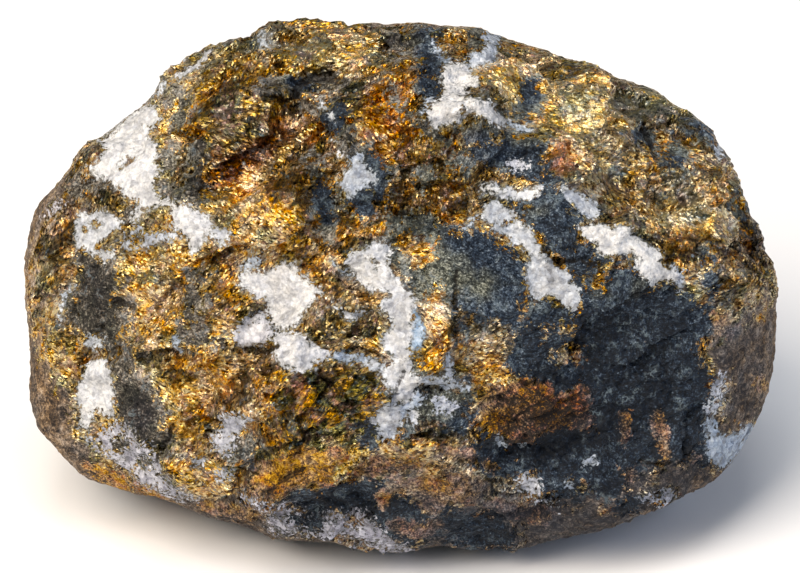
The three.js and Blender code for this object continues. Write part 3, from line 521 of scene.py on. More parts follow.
OCHRE = [
    (0.0, [(248, 484), (256, 474), (262, 466), (266, 460), (280, 453), (292, 447), (305, 448), (318, 450),
     (330, 448), (340, 447), (348, 450), (352, 456), (346, 462), (338, 468), (334, 474), (332, 482),
     (322, 486), (310, 484), (300, 488), (292, 492), (285, 498), (272, 496), (262, 494), (256, 488)]),
    (0.0, [(480, 392), (490, 386), (502, 388), (508, 382), (520, 380), (530, 380), (538, 383), (546, 385),
     (552, 386), (555, 392), (562, 393), (570, 391), (576, 387), (580, 384), (588, 386), (592, 390),
     (590, 398), (590, 405), (591, 412), (592, 420), (594, 426), (588, 430), (580, 431), (572, 429),
     (560, 430), (552, 433), (544, 435), (536, 438), (530, 443), (524, 442), (518, 439), (508, 436),
     (498, 433), (488, 430), (480, 426), (478, 420), (482, 412), (478, 404)]),
    (-0.05, [(620, 415), (624, 410), (630, 412), (631, 420), (631, 430), (628, 440), (624, 448), (620, 442),
     (619, 432), (620, 424)]),
    (0.0, [(653, 414), (660, 409), (665, 414), (666, 424), (666, 436), (668, 444), (672, 452), (668, 460),
     (662, 462), (660, 452), (656, 444), (652, 434), (652, 424)]),
    (0.0, [(689, 457), (695, 455), (701, 457), (699, 463), (692, 464)]),
    (0.0, [(620, 470), (628, 468), (638, 472), (640, 476), (632, 480), (622, 476)]),
    (0.0, [(486, 464), (492, 463), (496, 468), (494, 474), (488, 474)]),
    (-0.05, [(385, 485), (395, 482), (410, 480), (425, 478), (440, 480), (452, 478), (460, 470), (470, 472),
     (480, 478), (488, 484), (490, 496), (480, 503), (468, 505), (452, 505), (440, 508), (430, 512),
     (420, 506), (415, 498), (405, 494), (395, 495), (388, 492)]),
    (0.0, [(388, 521), (402, 520), (415, 520), (428, 521), (438, 520), (443, 526), (438, 534), (425, 537),
     (412, 537), (398, 534), (390, 528)]),
    (0.0, [(376, 494), (382, 491), (388, 498), (388, 508), (381, 511), (376, 506)]),
    (-0.05, [(480, 498), (500, 495), (520, 503), (545, 507), (554, 514), (548, 523), (530, 523), (512, 519),
     (498, 513), (484, 508)]),
    (-0.05, [(434, 440), (444, 440), (452, 448), (458, 450), (472, 449), (474, 456), (462, 460), (452, 460),
     (442, 454)]),
    (-0.1, [(345, 470), (355, 464), (370, 460), (385, 456), (398, 460), (412, 456), (424, 458), (426, 466),
     (412, 470), (402, 474), (392, 478), (375, 480), (360, 480), (350, 478)]),
    (-0.05, [(80, 460), (92, 462), (108, 470), (122, 480), (134, 490), (120, 492), (100, 482), (84, 470)]),
    (-0.05, [(135, 484), (150, 488), (166, 495), (160, 500), (144, 496)]),
    (-0.05, [(200, 503), (215, 503), (232, 507), (250, 508), (266, 512), (262, 520), (245, 520), (225, 516),
     (205, 512)]),
    (-0.05, [(712, 316), (722, 312), (732, 318), (738, 326), (734, 338), (722, 338), (714, 330)]),
    (-0.05, [(753, 376), (762, 374), (768, 382), (766, 392), (758, 392), (753, 385)]),
]
print("rind patches:", len(RIND), "ochre patches:", len(OCHRE))

# %% [markdown]
# ## Tints
# Brass isn't one colour: parts run to amber, olive or a dark bronze. Rock, rind and quartz have lighter and
# darker parts too. Each soft ellipse changes the lightness and the warmth round a feature on the map. Much
# of the lightness is painted light: painted highlights where facets flash cream towards the lamps, and
# painted shade under ledges, in hollows and over the lower and right parts.

# %% Tints
# x, y, half length, half width, turn (degrees anticlockwise), lightness (in part painted highlight and
# shade), warmth (olive below 0, amber above)
TINTS = [
    # slate bands in the upper brass, and the eye of quartz between them
    (336, 118, 28, 9, 52, -0.25, -0.3), (324, 200, 9, 22, 10, -0.25, -0.3),
    (366, 202, 16, 10, 0, -0.2, -0.3), (300, 82, 16, 7, -25, -0.25, -0.3), (430, 60, 14, 40, 0, -0.1, -0.2),
    (357, 175, 16, 14, 0, -0.1, 0.1),
    # painted highlights on bright flecks and plates at the left rim and the lower left, with one darker spot
    (42, 274, 9, 10, 0, 0.85, 0.1), (51, 310, 11, 9, 20, 0.5, 0.1), (123, 265, 8, 6, 0, 0.5, 0.0),
    (151, 260, 12, 8, 10, 0.5, 0.1), (151, 371, 16, 10, 15, 0.5, 0.0), (175, 397, 12, 9, 15, 0.45, 0.1),
    (185, 434, 17, 15, 0, 0.4, 0.1), (67, 272, 9, 8, 0, 0.25, 0.7), (217, 392, 20, 18, 20, 0.25, 0.5),
    (65, 235, 11, 7, 0, -0.4, 0.5), (204, 306, 6, 6, 0, 0.35, -0.5),
    (200, 375, 34, 14, 10, 0.1, 0.2), (150, 315, 22, 24, 0, 0.1, 0.1), (255, 414, 14, 9, 0, 0.35, 0.3),
    (265, 388, 26, 26, 0, 0.15, 0.2),
    # islands beside the tall vein
    (385, 230, 6, 6, 0, 0.6, 0.0), (441, 331, 8, 16, 0, 0.05, 0.8), (416, 248, 17, 14, 0, 0.3, 0.6),
    (437, 312, 12, 18, 0, 0.25, 0.6),
    # the boss, the painted shadow under its overhanging edge, and the amber hollow beside it, brightened with
    # painted light
    (228, 128, 36, 30, 30, -0.36, 0.0), (250, 158, 46, 12, 33, -1.2, 0.9),
    (243, 170, 16, 34, -20, 0.1, 0.45), (246, 191, 11, 22, 0, 0.85, 0.6),
    (272, 205, 58, 40, 10, -0.02, 0.15), (262, 165, 11, 8, 30, 0.3, 0.1), (295, 125, 14, 14, 10, 0.5, 0.6),
    (278, 140, 12, 12, 0, 0.3, 0.4), (248, 216, 10, 8, 0, -0.35, 0.0), (382, 118, 21, 38, -15, 0.1, 1.3),
    (352, 100, 14, 24, 0, -0.2, -0.35), (339, 167, 11, 15, 0, 0.48, 0.25),
    # painted light on the ledge of brass along the top, which faces the lamps
    (312, 57, 68, 19, 0, 0.68, 0.03),
    # khaki brass over the middle of the face
    (422, 147, 15, 9, -20, 0.45, 0.0), (448, 140, 10, 12, -40, 0.0, 0.6),
    (470, 205, 26, 14, 0, -0.1, 0.1), (430, 200, 30, 14, 0, 0.1, 0.15),
    # round the upper vein, with painted highlights on its bright streaks
    (455, 38, 11, 10, 0, 0.5, -0.1), (457, 57, 8, 7, 0, 0.2, 0.8), (515, 69, 31, 8, -5, 0.7, 1.1),
    (504, 93, 13, 12, 0, 0.82, 0.1), (455, 92, 8, 20, 0, 0.25, 0.0), (530, 92, 12, 16, 0, -0.15, 0.0),
    # painted light on the bright upper right and its red and blue tarnished spots, and painted shade in its
    # dark hollows
    (606, 106, 56, 19, 5, 0.75, 0.12), (610, 120, 70, 40, 0, 0.15, 0.0), (585, 128, 26, 13, 10, 0.4, 0.0),
    (612, 168, 12, 10, 0, 0.5, -0.1), (565, 158, 13, 11, 45, 0.75, -0.1),
    (620, 165, 40, 34, 0, -0.15, -0.3), (665, 110, 28, 18, -30, 0.0, -0.6),
    (700, 156, 17, 20, 0, 0.18, 0.1), (700, 225, 26, 16, -20, 0.2, 0.2), (685, 236, 12, 15, 0, 0.1, 0.5),
    (703, 212, 18, 7, 0, 0.4, -0.1), (708, 226, 9, 10, 0, 0.3, -0.1), (680, 200, 24, 12, 0, 0.05, 0.2),
    (722, 198, 15, 11, 0, -0.05, 0.4), (690, 204, 17, 12, 0, 0.95, 0.15), (690, 208, 42, 35, 0, 0.45, 0.05),
    (730, 227, 8, 6, 0, 0.5, -0.1), (744, 246, 20, 18, 0, -0.6, 0.1), (728, 268, 9, 9, 0, 0.5, 0.3),
    (742, 258, 10, 8, 0, 0.25, 0.0), (748, 290, 6, 5, 0, 0.5, -0.1), (698, 285, 7, 24, -15, 0.1, -0.45),
    (760, 262, 14, 34, 0, -0.45, -0.1), (745, 300, 26, 16, 0, -0.1, -0.2), (640, 200, 40, 24, 0, -0.1, 0.0),
    (710, 352, 12, 17, 0, 0.05, -0.4), (742, 420, 24, 38, -10, -0.1, 0.0),
    # the two flecked islands in the dark rock
    (490, 342, 20, 16, 0, 0.3, 0.0), (480, 364, 22, 12, 0, -0.05, 0.15), (567, 356, 20, 11, 0, 0.2, 0.35),
    # the even bronze block left of the tall vein, and the ochre slab under it
    (322, 401, 68, 42, 0, -0.36, -0.3), (303, 468, 32, 17, 15, 0.22, -0.4),
    (352, 325, 40, 30, 0, -0.1, -0.4), (340, 280, 20, 20, 0, 0.0, -0.3),
    # darker brass and rock across the left of the face
    (288, 302, 20, 24, 0, -0.15, 0.0),
    (134, 412, 20, 26, 0, -0.35, 0.0),
    (95, 293, 19, 35, 0, -0.35, 0.0), (178, 150, 26, 60, 0, 0.2, 0.0), (180, 90, 10, 9, 0, 0.3, 0.0),
    (175, 138, 18, 10, 0, 0.0, 0.2), (38, 340, 9, 44, 0, -0.12, 0.0),
    # rock of the middle, with specks of brass, and painted shade over the lower right
    (450, 282, 56, 30, 0, 0.22, 0.0), (548, 280, 18, 14, 0, -0.5, 0.0),
    (620, 390, 98, 84, 0, -0.35, 0.0), (540, 425, 66, 40, 0, -0.4, 0.0), (484, 400, 14, 18, 0, 0.1, -0.3),
    (580, 400, 14, 16, 0, 0.1, 0.5), (570, 400, 12, 10, 0, 0.2, 0.0),
    # the quartz: dimmer or brighter veins
    (400, 312, 12, 24, 0, -0.4, 0.0), (395, 415, 12, 14, 0, -0.1, 0.0), (622, 240, 24, 12, 0, 0.45, 0.0),
    (130, 150, 26, 26, 0, 0.25, 0.0), (510, 192, 26, 7, 0, 0.3, 0.0), (416, 362, 7, 12, 0, 0.2, 0.0),
    # the lower edge, darkened as painted shade where it turns under: rind, ochre plates and lilac quartz
    (330, 500, 76, 15, 0, -0.35, 0.0), (320, 525, 90, 16, 0, -0.2, 0.0), (640, 500, 130, 30, 18, -0.3, 0.0),
    (455, 528, 92, 25, 0, -0.22, 0.0), (516, 510, 38, 12, 8, -0.4, 0.5), (415, 528, 25, 9, 0, 0.05, 0.1),
    (381, 501, 7, 9, 0, 0.5, 0.3), (400, 470, 14, 9, 0, -0.3, 0.0),
    (362, 470, 14, 9, 0, -0.2, 0.0), (450, 408, 26, 18, 0, 0.24, 0.0), (585, 515, 36, 12, 0, -0.2, 0.0),
    (448, 494, 32, 15, 0, -0.1, -0.05), (620, 270, 20, 8, 0, -0.1, 0.4), (558, 260, 10, 12, 0, 0.0, 0.3),
]
print("tints:", len(TINTS))

# %% [markdown]
# ## Tarnish, painted shade, slate and evenness
# In a few places the brass has a thin film of tarnish, red to purple or blue. Painted shade greys, darkens
# and cools the lower and right parts of the face, which turn away from the lamps, and is thinned on a few
# plates and islands. Some of the rock is slate-blue where most is brown, and some of the brass is so
# fine-grained that it looks even.

# %% Tarnish, painted shade, slate and evenness
# x, y, half length, half width, turn, red to purple, blue
TARNISH = [
    (369, 132, 6, 5, 0, 0.9, 0.3), (564, 157, 14, 12, 45, 0.8, 0.0), (569, 110, 9, 6, 0, 0.0, 0.6),
    (618, 170, 8, 5, 0, 0.0, 0.9), (703, 213, 18, 5, 0, 0.0, 0.8), (380, 163, 6, 8, 0, 0.5, 0.0),
    (682, 198, 5, 6, 0, 0.6, 0.0), (556, 168, 8, 7, 0, 0.7, 0.0), (268, 40, 12, 6, 0, 0.0, 0.5),
    (300, 385, 10, 10, 0, 0.35, 0.0), (448, 150, 14, 8, -30, 0.3, 0.2), (678, 330, 7, 4, 0, 0.8, 0.0),
]
# From here on: x, y, half length, half width, turn, how much
# painted shade over the lower and right parts of the face, which turn away from the lamps
SHADE_AND_DUST = [
    (450, 520, 240, 40, 0, 0.68), (640, 420, 100, 90, 0, 0.7), (440, 405, 44, 34, 0, 0.7),
    (500, 340, 70, 30, 0, 0.45), (735, 350, 40, 80, 0, 0.4),
    (440, 470, 60, 26, 0, 0.4), (730, 230, 40, 60, 0, 0.2), (380, 300, 60, 60, 0, 0.15),
    (660, 160, 90, 70, 0, 0.26),
]
# places where the painted shade is thinned
SHADE_THINNED = [
    (535, 408, 68, 30, 0, 1.0), (626, 430, 10, 24, 0, 0.8), (662, 436, 10, 28, 0, 0.7),
    (564, 357, 24, 14, 0, 0.6), (440, 328, 14, 26, 0, 0.7), (485, 345, 20, 14, 0, 0.3),
    (415, 528, 28, 10, 0, 0.6), (300, 466, 46, 24, 15, 0.8), (335, 405, 52, 36, 0, 0.6),
    (445, 492, 30, 16, 0, 0.4), (381, 501, 9, 11, 0, 0.8),
]
SLATE = [
    (336, 118, 28, 12, 52, 1.1), (324, 200, 10, 24, 10, 1.2), (366, 200, 20, 16, 0, 1.1),
    (298, 83, 18, 9, -25, 1.2), (430, 62, 16, 44, 0, 0.8), (531, 100, 14, 22, 0, 0.3),
    (296, 520, 60, 14, 10, 0.3), (375, 165, 14, 24, 0, 0.6), (180, 150, 16, 50, 0, 0.35),
]
EVEN = [
    (335, 405, 54, 38, 0, 1.0), (228, 128, 38, 32, 30, 0.8), (272, 205, 44, 32, 10, 0.5),
    (180, 400, 40, 34, 0, 0.25), (440, 350, 30, 30, 0, 0.3), (382, 118, 26, 44, -15, 0.6),
    (300, 466, 46, 26, 15, 0.6),
]
print("tarnish spots:", len(TARNISH), "dusty parts:", len(SHADE_AND_DUST), "slate bands:", len(SLATE))

# %% [markdown]
# ## Cracks and the worn rim
# Cracks part the ochre slabs, the ledges and the blocks, and the fissure under the boss is the deepest. In
# places the rim is worn back further than the solid's, or stands out a little more.

# %% Cracks and rim
# Half width in mm of the near-black painted shade in the crack, depth in mm of the groove, and the line
# they follow
CRACKS = [
    (0.04, 0.9, [(206, 178), (225, 168), (245, 156), (262, 147), (275, 135), (285, 120), (298, 107)]),
    (0.35, 0.4, [(262, 98), (278, 98), (290, 102)]),
    (0.4, 0.45, [(344, 78), (325, 75), (310, 79), (297, 87)]), (0.3, 0.5, [(114, 303), (132, 307)]),
    (0.22, 0.5, [(172, 426), (166, 440), (158, 452), (154, 465)]),
    (0.14, 0.35, [(268, 494), (272, 490), (279, 482), (286, 475), (293, 472), (302, 471)]),
    (0.1, 0.25, [(278, 484), (286, 480), (294, 477), (301, 473)]),
    (0.1, 0.25, [(268, 428), (280, 424), (295, 421), (310, 414), (345, 412)]),
    (0.07, 0.2, [(300, 442), (320, 438), (335, 436), (350, 430)]),
    (0.22, 0.4, [(530, 421), (545, 418), (557, 414), (572, 410)]),
    (0.14, 0.3, [(500, 438), (515, 437), (535, 434)]), (0.09, 0.25, [(452, 489), (460, 486), (467, 483)]),
    (0.1, 0.25, [(455, 460), (470, 458), (475, 457)]),
    (0.14, 0.3, [(640, 461), (660, 464), (680, 462), (692, 458)]),
    (0.18, 0.35, [(484, 402), (496, 397), (506, 403), (520, 399)]),
    (0.18, 0.35, [(545, 396), (556, 403), (572, 398), (588, 405)]),
    (0.16, 0.3, [(506, 428), (516, 420), (530, 410), (540, 404)]),
    (0.16, 0.3, [(560, 424), (572, 418), (586, 420)]),
    (0.22, 0.4, [(457, 272), (456, 290), (455, 310), (458, 335)]),
    (0.3, 0.4, [(390, 206), (400, 212), (408, 212)]), (0.3, 0.4, [(322, 376), (330, 384), (324, 396)]),
    (0.2, 0.3, [(560, 262), (575, 260), (590, 264), (600, 262)]),
    (0.25, 0.3, [(245, 352), (262, 352), (276, 345)]), (0.2, 0.4, [(690, 232), (700, 240), (698, 250)]),
    (0.16, 0.3, [(404, 372), (398, 384), (396, 394)]), (0.25, 0.4, [(645, 128), (652, 140), (656, 158)]),
    (0.12, 0.25, [(232, 465), (246, 452), (262, 440), (280, 430)]),
    (0.2, 0.3, [(520, 380), (530, 384), (544, 383)]),
]
# How far the rim is worn back in mm (below 0 it stands out), and the line along the rim
EDGE_TRIM = [
    (0.5, [(186, 62), (210, 46), (246, 32)]), (0.4, [(296, 20), (320, 16), (346, 22)]),
    (0.45, [(724, 150), (742, 184), (756, 218), (766, 245)]), (0.12, [(146, 98), (160, 78), (172, 68)]),
    (0.3, [(52, 185), (60, 178), (68, 163)]), (-0.4, [(29, 400), (31, 410), (36, 420), (41, 427)]),
    (-0.25, [(690, 114), (700, 121), (707, 130)]),
]
print("cracks:", len(CRACKS), "places on the rim:", len(EDGE_TRIM))

# %% [markdown]
# ## Distances on the map
# The distance to an outline is the smallest distance to its sides, with the sign from a crossing count.
# Points far from a patch keep a set distance, so going through more than a hundred patches stays quick. A
# soft ellipse fades from 1 in its middle to 0 outside it, for what has no edge.

# %% Distance helpers
FAR = 3.0  # mm, past which an edge no longer matters
map_x, map_y, rim_height = on_face_map(skin_points)
map_spots = np.stack([map_x, map_y], 1)


def distance_to_sides(spots, starts, ends):
    """Distance in map units from each spot to the nearest of some straight sides."""
    run = ends - starts
    length = np.maximum((run ** 2).sum(1), 1e-9)
    away = spots[:, None, :] - starts[None]
    along = np.clip((away * run[None]).sum(2) / length[None], 0, 1)
    return np.sqrt((((away - along[..., None] * run[None]) ** 2).sum(2)).min(1))


def gap_to_line(line):
    """Distance in mm from each skin point to a bent line on the map."""
    corners = np.array(line, float)
    return distance_to_sides(map_spots, corners[:-1], corners[1:]) / MAP_SCALE


def patch_depth(outline, wider):
    """For each skin point, how far inside a closed outline it lies in mm, negative outside."""
    corners = np.array(outline, float)
    low, high = corners.min(0) - FAR * MAP_SCALE, corners.max(0) + FAR * MAP_SCALE
    near = np.flatnonzero(((map_spots >= low) & (map_spots <= high)).all(1))
    depth = np.full(len(map_spots), -FAR)
    if not len(near):
        return depth
    spots, after = map_spots[near], np.roll(corners, -1, 0)
    gap = distance_to_sides(spots, corners, after)
    x, y = spots.T
    inside = np.zeros(len(near), bool)
    for (ax, ay), (bx, by) in zip(corners, after):
        if ay != by:
            inside ^= ((ay > y) != (by > y)) & (x < (bx - ax) * (y - ay) / (by - ay) + ax)
    depth[near] = np.clip(np.where(inside, gap, -gap) / MAP_SCALE + wider, -FAR, FAR)
    return depth


def deepest(patches):
    """For each skin point, the depth in whichever of some patches it lies deepest in."""
    return np.max([patch_depth(outline, wider) for wider, outline in patches], 0)


def ellipse_share(x, y, long, wide, turn):
    """1 in the middle of a soft ellipse on the map, falling to 0 outside it."""
    c, s = math.cos(math.radians(turn)), math.sin(math.radians(turn))
    dx, dy = map_x - x, -(map_y - y)
    reach = ((dx * c + dy * s) / long) ** 2 + ((dy * c - dx * s) / wide) ** 2
    return np.exp(-0.9 * reach ** 1.5)


def summed(ellipses):
    """The two amounts that soft ellipses carry, each added up."""
    totals = np.zeros((2, len(skin_points)))
    for *ellipse, first, second in ellipses:
        totals += np.outer((first, second), ellipse_share(*ellipse))
    return totals


def strongest(ellipses):
    """The largest of the amounts that soft ellipses carry."""
    return np.max([amount * ellipse_share(*ellipse) for *ellipse, amount in ellipses], 0)


print("the skin spans", round(float(np.ptp(map_x))), "by", round(float(np.ptp(map_y))), "on the map")

# %% [markdown]
# ## Layout of the back
# The back can't be mapped, so its minerals follow smooth noise in space: veins where the noise crosses
# zero, and patches where it is high. Over the last few millimetres before the rim the two layouts blend.


# %% Noise for the back
def field(size, seed):
    """Smooth noise over the skin, from about -1 to 1, with swells of the given size in mm."""
    shift = Vector((seed * 3.7, seed * -2.3, seed * 5.1))
    return np.array([noise.noise(Vector(p) / size + shift) for p in skin_points])


back_vein = field(13, 1) + 0.12 * field(2.6, 5)
back_patch = field(9, 2)
back_age = field(16, 3)
back_rust = field(7, 4)
BLEND_START, BLEND_DEPTH = -4.5, 4.0  # mm over the plane of the rim
on_face = np.clip((rim_height - BLEND_START) / BLEND_DEPTH, 0, 1)
on_face = on_face * on_face * (3 - 2 * on_face)


def whole(face_depth, back_depth):
    """Blends the mapped depth of a mineral on the face with its depth on the back."""
    return np.clip(face_depth * on_face + back_depth * (1 - on_face), -FAR, FAR)


print(f"mapped: {100 * float((on_face > 0.5).mean()):.0f}% of the skin")

# %% [markdown]
# ## One layout for the whole skin
# Brassy islands and wedges of rock are cut out of the quartz, and islands and solid brass out of the rock.
# The rock is browner to the left and above and blue-black to the right and below. The slate bands turn it
# blue again. The rind follows its outlines and a thin worn edge along the whole rim. On the back, a
# mineral's depth in mm is how far a noise is past some level, times how fast the depth grows from there.
# The rim is worn over a few millimetres to each side.

# %% Depth in each mineral
quartz_face = np.full(len(skin_points), -FAR)
cool = np.zeros(len(skin_points))
lilac = np.zeros(len(skin_points))
for patch_cool, patch_lilac, wider, outline in QUARTZ:
    depth = patch_depth(outline, wider)
    nearer = depth > quartz_face
    cool[nearer], lilac[nearer] = patch_cool, patch_lilac
    quartz_face = np.maximum(quartz_face, depth)
island = deepest(BRASS_ISLANDS)
quartz_face = np.minimum(quartz_face, -np.maximum(island, deepest(ROCK_IN_QUARTZ)))
SOLID_FIRMNESS = 2  # solid brass pushes the rock away by so many times its depth, past what frays the border
dark_face = np.minimum(deepest(DARK_ROCK), -np.maximum(island, SOLID_FIRMNESS * deepest(SOLID_BRASS)))
rim_wear = np.clip(1.2 - np.abs(rim_height + 0.5) * 0.5, -1, 1) - 0.9
brown = 1.2 - (map_x - 150) / 220 - np.maximum(0, (map_y - 420) / 60)
brown += 0.5 * np.clip((190 - map_y) / 60, 0, 1)
slate = strongest(SLATE) * on_face
HALF_VEIN = 0.9  # mm, the depth in the middle of a vein of the back where no dark patch is near
skin_fields = {
    "quartz": whole(quartz_face, HALF_VEIN - 9 * np.abs(back_vein) - 3 * np.clip(back_patch + 0.15, 0, 1)),
    "dark_rock": whole(dark_face, 6 * (back_patch - 0.02)),
    "rind": whole(np.maximum(deepest(RIND), rim_wear), 7 * (back_age + 0.16)),
    "ochre": whole(deepest(OCHRE), 6 * (back_rust - 0.3)),
    "cool": cool * on_face + (1 - on_face) * (0.2 + 0.5 * back_rust),
    "lilac": lilac * on_face + (1 - on_face) * 0.05,
    "brown": np.clip(brown, -0.4, 0.62) * on_face + 0.4 * (1 - on_face) - slate,
    "worn": np.clip(1.3 - np.abs(rim_height) / 4.5, 0, 1),
}
for name, values in skin_fields.items():
    print(f"{name}: {100 * float((values > 0).mean()):.0f}% of the skin")

# %% [markdown]
# Lights and tarnish add up where their ellipses meet; much of the lightness is painted highlight and shade.
# Painted shade, slate and evenness take the strongest, and the places listed after the painted shade thin
# it. A crack is a groove with broken shoulders. Its gap to the nearest crack also darkens the finish, as
# painted shade inside the crack.

# %% Tints, tarnish, cracks and trim
light, warmth = summed(TINTS)
red_tarnish, blue_tarnish = summed(TARNISH)
shade_and_dust = strongest(SHADE_AND_DUST)
for *ellipse, amount in SHADE_THINNED:
    shade_and_dust *= 1 - amount * ellipse_share(*ellipse)
TRIM_REACH = 1.6  # mm from the line
trim = sum(depth * np.exp(-(gap_to_line(line) / TRIM_REACH) ** 2) for depth, line in EDGE_TRIM)
CRACK_SHOULDER = 0.25  # mm beside the crack
crack = np.zeros(len(skin_points))
crack_gap = np.full(len(skin_points), FAR)
for half_width, depth, line in CRACKS:
    gap = gap_to_line(line)
    crack = np.maximum(crack, depth * np.exp(-(gap / (half_width + CRACK_SHOULDER)) ** 2))
    crack_gap = np.minimum(crack_gap, gap - half_width)
skin_fields.update({
    "light": light * on_face - 0.1 * (1 - on_face),
    "warmth": warmth * on_face + 0.2 * back_rust * (1 - on_face),
    # on the face painted shade; on the back an even dusty film
    "shade_and_dust": shade_and_dust * on_face + 0.35 * (1 - on_face),
    "red_tarnish": red_tarnish * on_face,
    "blue_tarnish": blue_tarnish * on_face,
    "even": strongest(EVEN) * on_face,
    "crack": crack * on_face,
    "crack_gap": crack_gap * on_face + FAR * (1 - on_face),
    "trim": trim * on_face,
})
print("lightness runs from", round(float(light.min()), 2), "to", round(float(light.max()), 2))

# %% [markdown]
# ## The skin as a mesh
# Each field becomes a number kept on the vertices. The shape nodes and the material both read them by name.

# %% Build the mesh
skin = bpy.data.meshes.new("ore_lump")
skin.from_pydata((skin_points * MM).tolist(), [], skin_faces.tolist())
for name, values in skin_fields.items():
    skin.attributes.new(name, "FLOAT", "POINT").data.foreach_set("value", values.astype(np.float32))
skin.update()
ore = bpy.data.objects.new("ore_lump", skin)
bpy.context.scene.collection.objects.link(ore)
print("mesh:", len(skin.vertices), "vertices,", len(skin.attributes), "attributes")

# %% [markdown]
# ## How the surface broke
# Chalcopyrite has no good cleavage: it breaks into small tilted facets with steps between them (a hackly
# fracture). Quartz breaks in smooth shells and stands a little proud, chlorite rock crumbles into grains,
# and the rind is rubbed almost smooth. This follows a rule, so Geometry Nodes make it: each point moves
# along its normal by a height that the mineral under it decides. A Voronoi cell gives each facet its own
# tilt.

# %% Grain of the ore
# The ore's bands climb to the right across the face, so facets and flakes are longer that way.
GRAIN_RISE = math.radians(24)
ALONG = math.cos(GRAIN_RISE) * FACE_RIGHT + math.sin(GRAIN_RISE) * FACE_UP
ACROSS = math.cos(GRAIN_RISE) * FACE_UP - math.sin(GRAIN_RISE) * FACE_RIGHT
BOLD_FACET, BROAD_FACET = 4.6, 1.5  # mm, shared by the shape and the finish so that they agree
FACET_SQUEEZE = (0.55, 1.0, 0.8)  # along, across and out of the grain: a facet is 1 / 0.55 as long as wide


def squeezed(tree, where, along, across, outward):
    """Positions scaled along, across and out of the grain: cells come out longer where it is below 1."""
    scaled = {}
    for i, way in enumerate((ALONG * along, ACROSS * across, FACE_OUT * outward)):
        scaled[i] = add_node(tree, "ShaderNodeVectorMath", {0: where, 1: tuple(way)},
                             operation="DOT_PRODUCT", output="Value")
    return add_node(tree, "ShaderNodeCombineXYZ", scaled)


print("grain runs along", [round(float(v), 2) for v in ALONG])

# %% [markdown]
# The tree's inputs are its sizes, in millimetres or as a slope (rise over run), and its material. It works
# in millimetres. The fields come in by name.

# %% Shape nodes: inputs
broken = bpy.data.node_groups.new("broken_surface", "GeometryNodeTree")
broken.interface.new_socket("Geometry", in_out="INPUT", socket_type="NodeSocketGeometry")
SURFACE_SIZES = {
    "Bold facet (mm)": BOLD_FACET, "Bold slope": 0.42, "Broad facet (mm)": BROAD_FACET, "Broad slope": 0.52,
    "Small facet (mm)": 0.75, "Small slope": 0.42, "Ledge slope": 0.14, "Quartz rise (mm)": 0.16,
    "Quartz swell (mm)": 0.22, "Quartz grain (mm)": 1.3, "Rock grain (mm)": 0.16, "Rind grain (mm)": 0.12,
    "Nibble (mm)": 0.64,
}
for name, value in SURFACE_SIZES.items():
    broken.interface.new_socket(name, in_out="INPUT", socket_type="NodeSocketFloat").default_value = value
broken.interface.new_socket("Finish", in_out="INPUT", socket_type="NodeSocketMaterial")
broken.interface.new_socket("Geometry", in_out="OUTPUT", socket_type="NodeSocketGeometry")
given = add_node(broken, "NodeGroupInput").node.outputs
place = add_node(broken, "GeometryNodeInputPosition")
in_mm = add_node(broken, "ShaderNodeVectorMath", {0: place, "Scale": 1 / MM}, operation="SCALE")
banded = squeezed(broken, in_mm, *FACET_SQUEEZE)
laid = {}
for name in ("quartz", "dark_rock", "rind", "ochre", "crack", "worn", "trim"):
    laid[name] = add_node(broken, "GeometryNodeInputNamedAttribute", {"Name": name}, data_type="FLOAT")
print("shape inputs:", [s.name for s in broken.interface.items_tree if s.in_out == "INPUT"])

# %% [markdown]
# A border in the shape is softer than in the colour: it takes a third of a millimetre to each side for
# quartz, and more than twice that for the rind. What the top minerals leave goes to the ones under them,
# and brass has the rest.

# %% Shape nodes: how much of each mineral a point has
share = {}
for name, softness in (("quartz", 0.35), ("dark_rock", 0.5), ("rind", 0.8), ("ochre", 0.6)):
    share[name] = add_node(broken, "ShaderNodeMapRange", {"Value": laid[name], "From Min": -softness,
                           "From Max": softness}, interpolation_type="SMOOTHSTEP")
left = add_node(broken, "ShaderNodeMath", {0: 1.0, 1: share["quartz"]}, operation="SUBTRACT")
for name in ("ochre", "rind", "dark_rock"):
    share[name] = add_node(broken, "ShaderNodeMath", {0: share[name], 1: left}, operation="MULTIPLY")
    left = add_node(broken, "ShaderNodeMath", {0: left, 1: share[name]}, operation="SUBTRACT")
share["brass"] = left
print("minerals in the shape:", sorted(share))

# %% [markdown]
# Each Voronoi cell has a colour of its own, at random but fixed. Less a half, it is an arrow that tilts the
# cell: a point's height is its arm from the cell's middle, taken along that arrow. Three sizes of cell add
# up. The two larger ones also rise to their lower edge, where a ledge drops to the next cell.

# %% Shape nodes: tilted facets
facet_height = 0.0
LEDGE_WAY = (0.4, -1.0, 0.0)  # along and across the grain: down, and a little to the right
for kind in ("Bold", "Broad", "Small"):
    density = add_node(broken, "ShaderNodeMath", {0: 1.0, 1: given[kind + " facet (mm)"]}, operation="DIVIDE")
    middle = add_node(broken, "ShaderNodeTexVoronoi", {"Vector": banded, "Scale": density}, output="Position")
    arm = add_node(broken, "ShaderNodeVectorMath", {0: banded, 1: middle}, operation="SUBTRACT")
    tilt = add_node(broken, "ShaderNodeVectorMath", {0: middle.node.outputs["Color"], 1: (0.5, 0.5, 0.5)},
                    operation="SUBTRACT")
    rises = [(tilt, given[kind + " slope"])]
    if kind != "Small":
        rises.append((LEDGE_WAY, given["Ledge slope"]))
    for way, slope in rises:
        lift = add_node(broken, "ShaderNodeVectorMath", {0: arm, 1: way},
                        operation="DOT_PRODUCT", output="Value")
        facet_height = add_node(broken, "ShaderNodeMath", {0: lift, 1: slope, 2: facet_height},
                                operation="MULTIPLY_ADD")
steepest = math.atan(math.sqrt(0.75) * SURFACE_SIZES["Broad slope"])
print("broad facets tilt up to", round(math.degrees(steepest)), "degrees")

